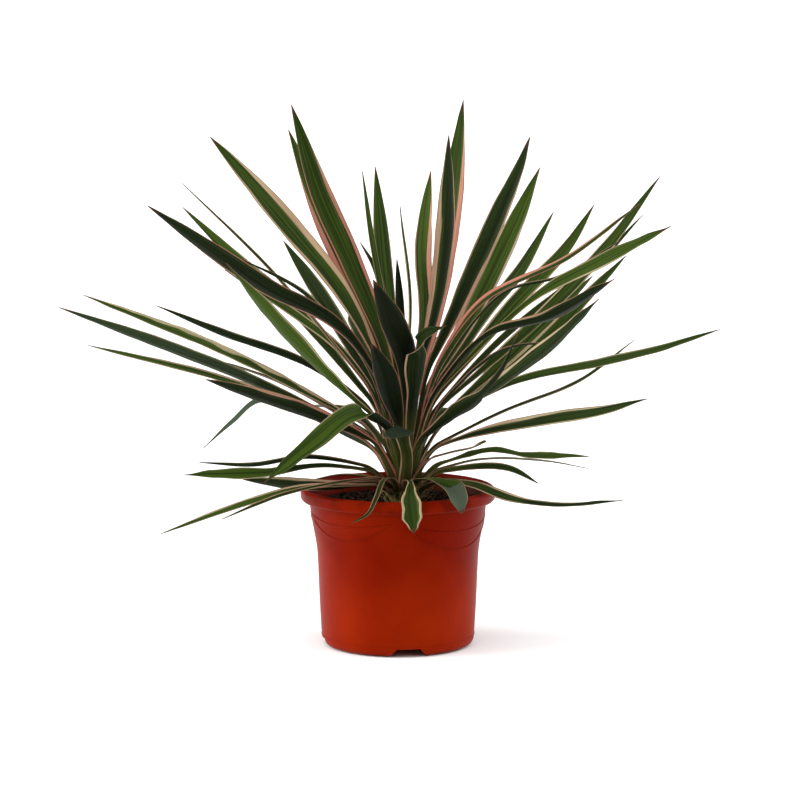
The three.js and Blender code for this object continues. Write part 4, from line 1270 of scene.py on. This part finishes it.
def leaf_finish():
    finish = Finish("striped_leaf", Specular_IOR_Level=0.05)
    mark = {name: finish.attribute(name) for name in MARKS}
    inward = 1 - abs(mark["across"])
    # Noises that are drawn out along the leaf, each leaf with its own.
    own = mark["seed"] * 13
    streak = finish.noise(finish.vector(mark["along"] * 9, mark["across"] * 4, own), 1, 2)
    fibre = finish.noise(finish.vector(mark["along"] * 22, mark["across"] * 17, own), 1, 3)
    stripe = finish.noise(finish.vector(mark["along"] * 7, mark["across"] * 5, own + 9), 1, 1)
    thread = finish.noise(finish.vector(mark["along"] * 12, mark["across"] * 9, own + 5), 1, 2)

    # The two faces, the bloom, and the darker and olive greens near the stem.
    # Each leaf's tone makes its green brighter or darker: partly its own tone, partly painted light and
    # shade.
    lit = (mark["tone"] - 0.3) * (0.55 + stripe.step(0.40, 0.60)) + (fibre - 0.5) * 0.6
    upper = finish.mix(lit.clamped(), GREEN_DARK, GREEN_BRIGHT)
    lower = finish.mix(lit.clamped(), UNDER_DARK, UNDER_BRIGHT)
    green = finish.mix(mark["under"].clamped(), upper, lower)
    green = finish.mix(((mark["under"] - 1) * (0.45 + fibre * 1.1)).clamped(), green, BLOOM)
    hidden = mark["along"].step(0.20, 0.09) * mark["along"].step(0.03, 0.08)
    green = finish.mix(hidden * 0.45, green, GREEN_DARK)
    green = finish.mix(mark["along"].step(0.090, 0.020) * (0.35 + stripe * 0.6), green, OLIVE)
    withered = mark["along"].step(0.034, 0.010) * fibre.step(0.42, 0.60)
    green = finish.mix(withered * 0.8, green, EDGE_BROWN)

    # The greyer stripe beside the pale band, on the inner side of its border.
    border = mark["margin"] * (0.55 + streak * 0.9)
    beside = (border + 0.22 - inward).step(-0.05, 0.10) * thread.step(0.45, 0.62)
    green = finish.mix(beside * mark["tone"].clamped() * 0.7, green, GREEN_GREY)

    # The pale band itself: cream, turning tan on darker leaves as painted shade and also towards the
    # stem, greyed in streaks, flushed with pink and edged with brown.
    blush = mark["pink"] * (1.75 - mark["share"] * 1.2) * (0.6 + streak * 0.8)
    blush = (blush + mark["along"].step(0.20, 0.06) * 0.35).clamped()
    cream_share = mark["tone"].step(0.15, 0.60) * (1 - mark["along"].step(0.14, 0.03) * 0.35)
    pale = finish.mix(cream_share, TAN_AND_SHADED_CREAM, CREAM)
    pale = finish.mix(streak.step(0.42, 0.70) * 0.45, pale, MARGIN_GREY)
    pale = finish.mix(blush, pale, PINK)
    pale = finish.mix(inward.step(0.09, 0.0) * 0.6, pale, EDGE_BROWN)
    banded = (border - inward).step(-0.03, 0.05) * (1 - thread.step(0.50, 0.70) * 0.45)
    colour = finish.mix(banded, green, pale)

    # The brown point, and the fine ribs.
    colour = finish.mix(mark["share"].step(0.955, 0.992) * 0.85, colour, EDGE_BROWN)
    finish.wear(Base_Color=colour, Roughness=0.40 + fibre * 0.16 + banded * 0.10)
    ribs = (mark["across"] * 46).sine() * 0.5 + fibre * 2
    finish.bump(ribs, 0.00012)
    return finish


striped = leaf_finish()
print("leaf finish", striped.material.name, len(striped.nodes), "nodes")

# %% Lay every leaf
YOUNG_FROM = 100

for number, row in enumerate(LEAVES):
    blade = lay_leaf(row, number)
    settle(blade, striped, "leaf", row.name)
young = [lay_leaf(row, number) for number, row in enumerate(YOUNG_LEAVES, YOUNG_FROM)]
for blade in young:
    settle(blade, striped, "leaf")
remove(leaf_blank)
print("laid", len(LEAVES) + len(young), "blades")

# %% [markdown]
# ## Stem
#
# The leaves clasp a short stem that stands in the peat. Little of it shows: the torn sheaths of
# leaves that have withered stand round its foot in a loose tuft, with a few green ones among them.
# The stem itself is pulled up like the pot. The sheaths are strips that are bent round it one by one,
# each turned on by the golden angle, as leaves grow, and each with its own length, width and lift.

# %% Pull up the stem
STEM_FOOT = 0.096
STEM_PROFILE = [
    (STEM_FOOT, 0.0110), (0.132, 0.0115), (0.150, 0.0105), (0.170, 0.0090), (0.190, 0.0075),
    (0.210, 0.0055), (0.228, 0.0035),
]
STEM_TOP = 0.236

stem_rings = rounded(STEM_PROFILE, 3)
stem = pull_up("stem", stem_rings + [(STEM_TOP, 0.001)], 36)
for vertex in stem.data.vertices:
    vertex.co.x += STEM_X
shade_smooth(stem)
print("stem faces", len(stem.data.polygons))

# %% Torn sheaths
GOLDEN_ANGLE = math.radians(137.508)
SHEATH_COUNT = 90
SHEATH_LOW = 0.136
SHEATH_HIGH = 0.154
SHEATH_STATIONS = 12
SHEATH_LANES = 8
SHEATH_THICKNESS = 0.0006
SHEATH_OUT = 0.0075
sheath_blank = flat_blank("sheath_blank", SHEATH_STATIONS, SHEATH_LANES)


def bend_sheath(number):
    """One sheath on the stem: broad below, narrow above, and lifting off towards its end."""
    share = number / (SHEATH_COUNT - 1)
    foot = SHEATH_LOW + (SHEATH_HIGH - SHEATH_LOW) * share + draw.uniform(-0.002, 0.002)
    length = draw.uniform(0.009, 0.024) * (1 - 0.35 * share)
    width = draw.uniform(0.0015, 0.0070)
    lift = draw.uniform(0.001, 0.013)
    age = draw.random()
    bearing = number * GOLDEN_ANGLE
    piece = copy_of(sheath_blank, f"leaf_base_{number:02d}")
    for vertex in piece.data.vertices:
        s, v, layer = vertex.co
        half = width / 2 * (1 - 0.72 * s**1.6)
        height = foot + s * length
        out = radius_at(stem_rings, height) + SHEATH_OUT + lift * s * s + 0.0012 * (1 - v * v) * s
        out += layer * SHEATH_THICKNESS / 2 * (1 - 0.5 * abs(v))
        angle = bearing + v * half / out
        vertex.co = (STEM_X + out * math.cos(angle), out * math.sin(angle), height)
    write_marks(piece, {"age": [age] * len(piece.data.vertices)})
    shade_smooth(piece)
    return piece


sheaths = join([bend_sheath(number) for number in range(SHEATH_COUNT)], "leaf_bases")
remove(sheath_blank)
pick(sheaths)
bpy.ops.object.mode_set(mode="EDIT")
face_outwards()
print("leaf bases", SHEATH_COUNT, "with", len(sheaths.data.polygons), "faces")

# %% [markdown]
# ### Stem and sheath finish
#
# The stem and fresh sheaths are a dark olive green, and dry ones straw to brown, all rather matt,
# with coarse fibres running up them. Age is written on each sheath, and the finish goes from one to
# the other by it.

# %% Paint the stem
BASE_GREEN = (0.040, 0.045, 0.012)
STRAW = (0.36, 0.27, 0.075)
HUSK_BROWN = (0.050, 0.030, 0.012)


def sheath_finish():
    finish = Finish("leaf_base", Specular_IOR_Level=0.3)
    place = finish.place()
    stretched = finish.node("Mapping", values={"Vector": place, "Scale": (1, 1, 0.08)})
    fibre = finish.noise(stretched, 900, 3, 0.6)
    blotch = finish.noise(place, 120, 3)
    age = finish.attribute("age")
    dry = finish.mix(blotch.step(0.35, 0.65), HUSK_BROWN, STRAW)
    colour = finish.mix((age * 1.5 + (blotch - 0.5) * 0.8 - 0.2).clamped(), BASE_GREEN, dry)
    colour = finish.mix(fibre.step(0.5, 0.7) * 0.4, colour, HUSK_BROWN)
    finish.wear(Base_Color=colour, Roughness=0.55 + fibre * 0.3)
    finish.bump(fibre, 0.0004)
    return finish


sheath = sheath_finish()
settle(stem, sheath, "crown", "crown")
settle(sheaths, sheath, "crown")
print("stem finish", sheath.material.name)

# %% [markdown]
# ## Boxes of the plant
#
# The box of the solids and the box of the finished plant are printed side by side. The finished
# plant has to stay inside the box of its solids, apart from a small allowance.

# %% Print the boxes
shown_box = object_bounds()
boxes = {
    "solids": [list(corner) for corner in solid_box],
    "shown": [list(corner) for corner in shown_box],
}
for name, corners in boxes.items():
    print(name, [round(v, 3) for corner in corners for v in corner])
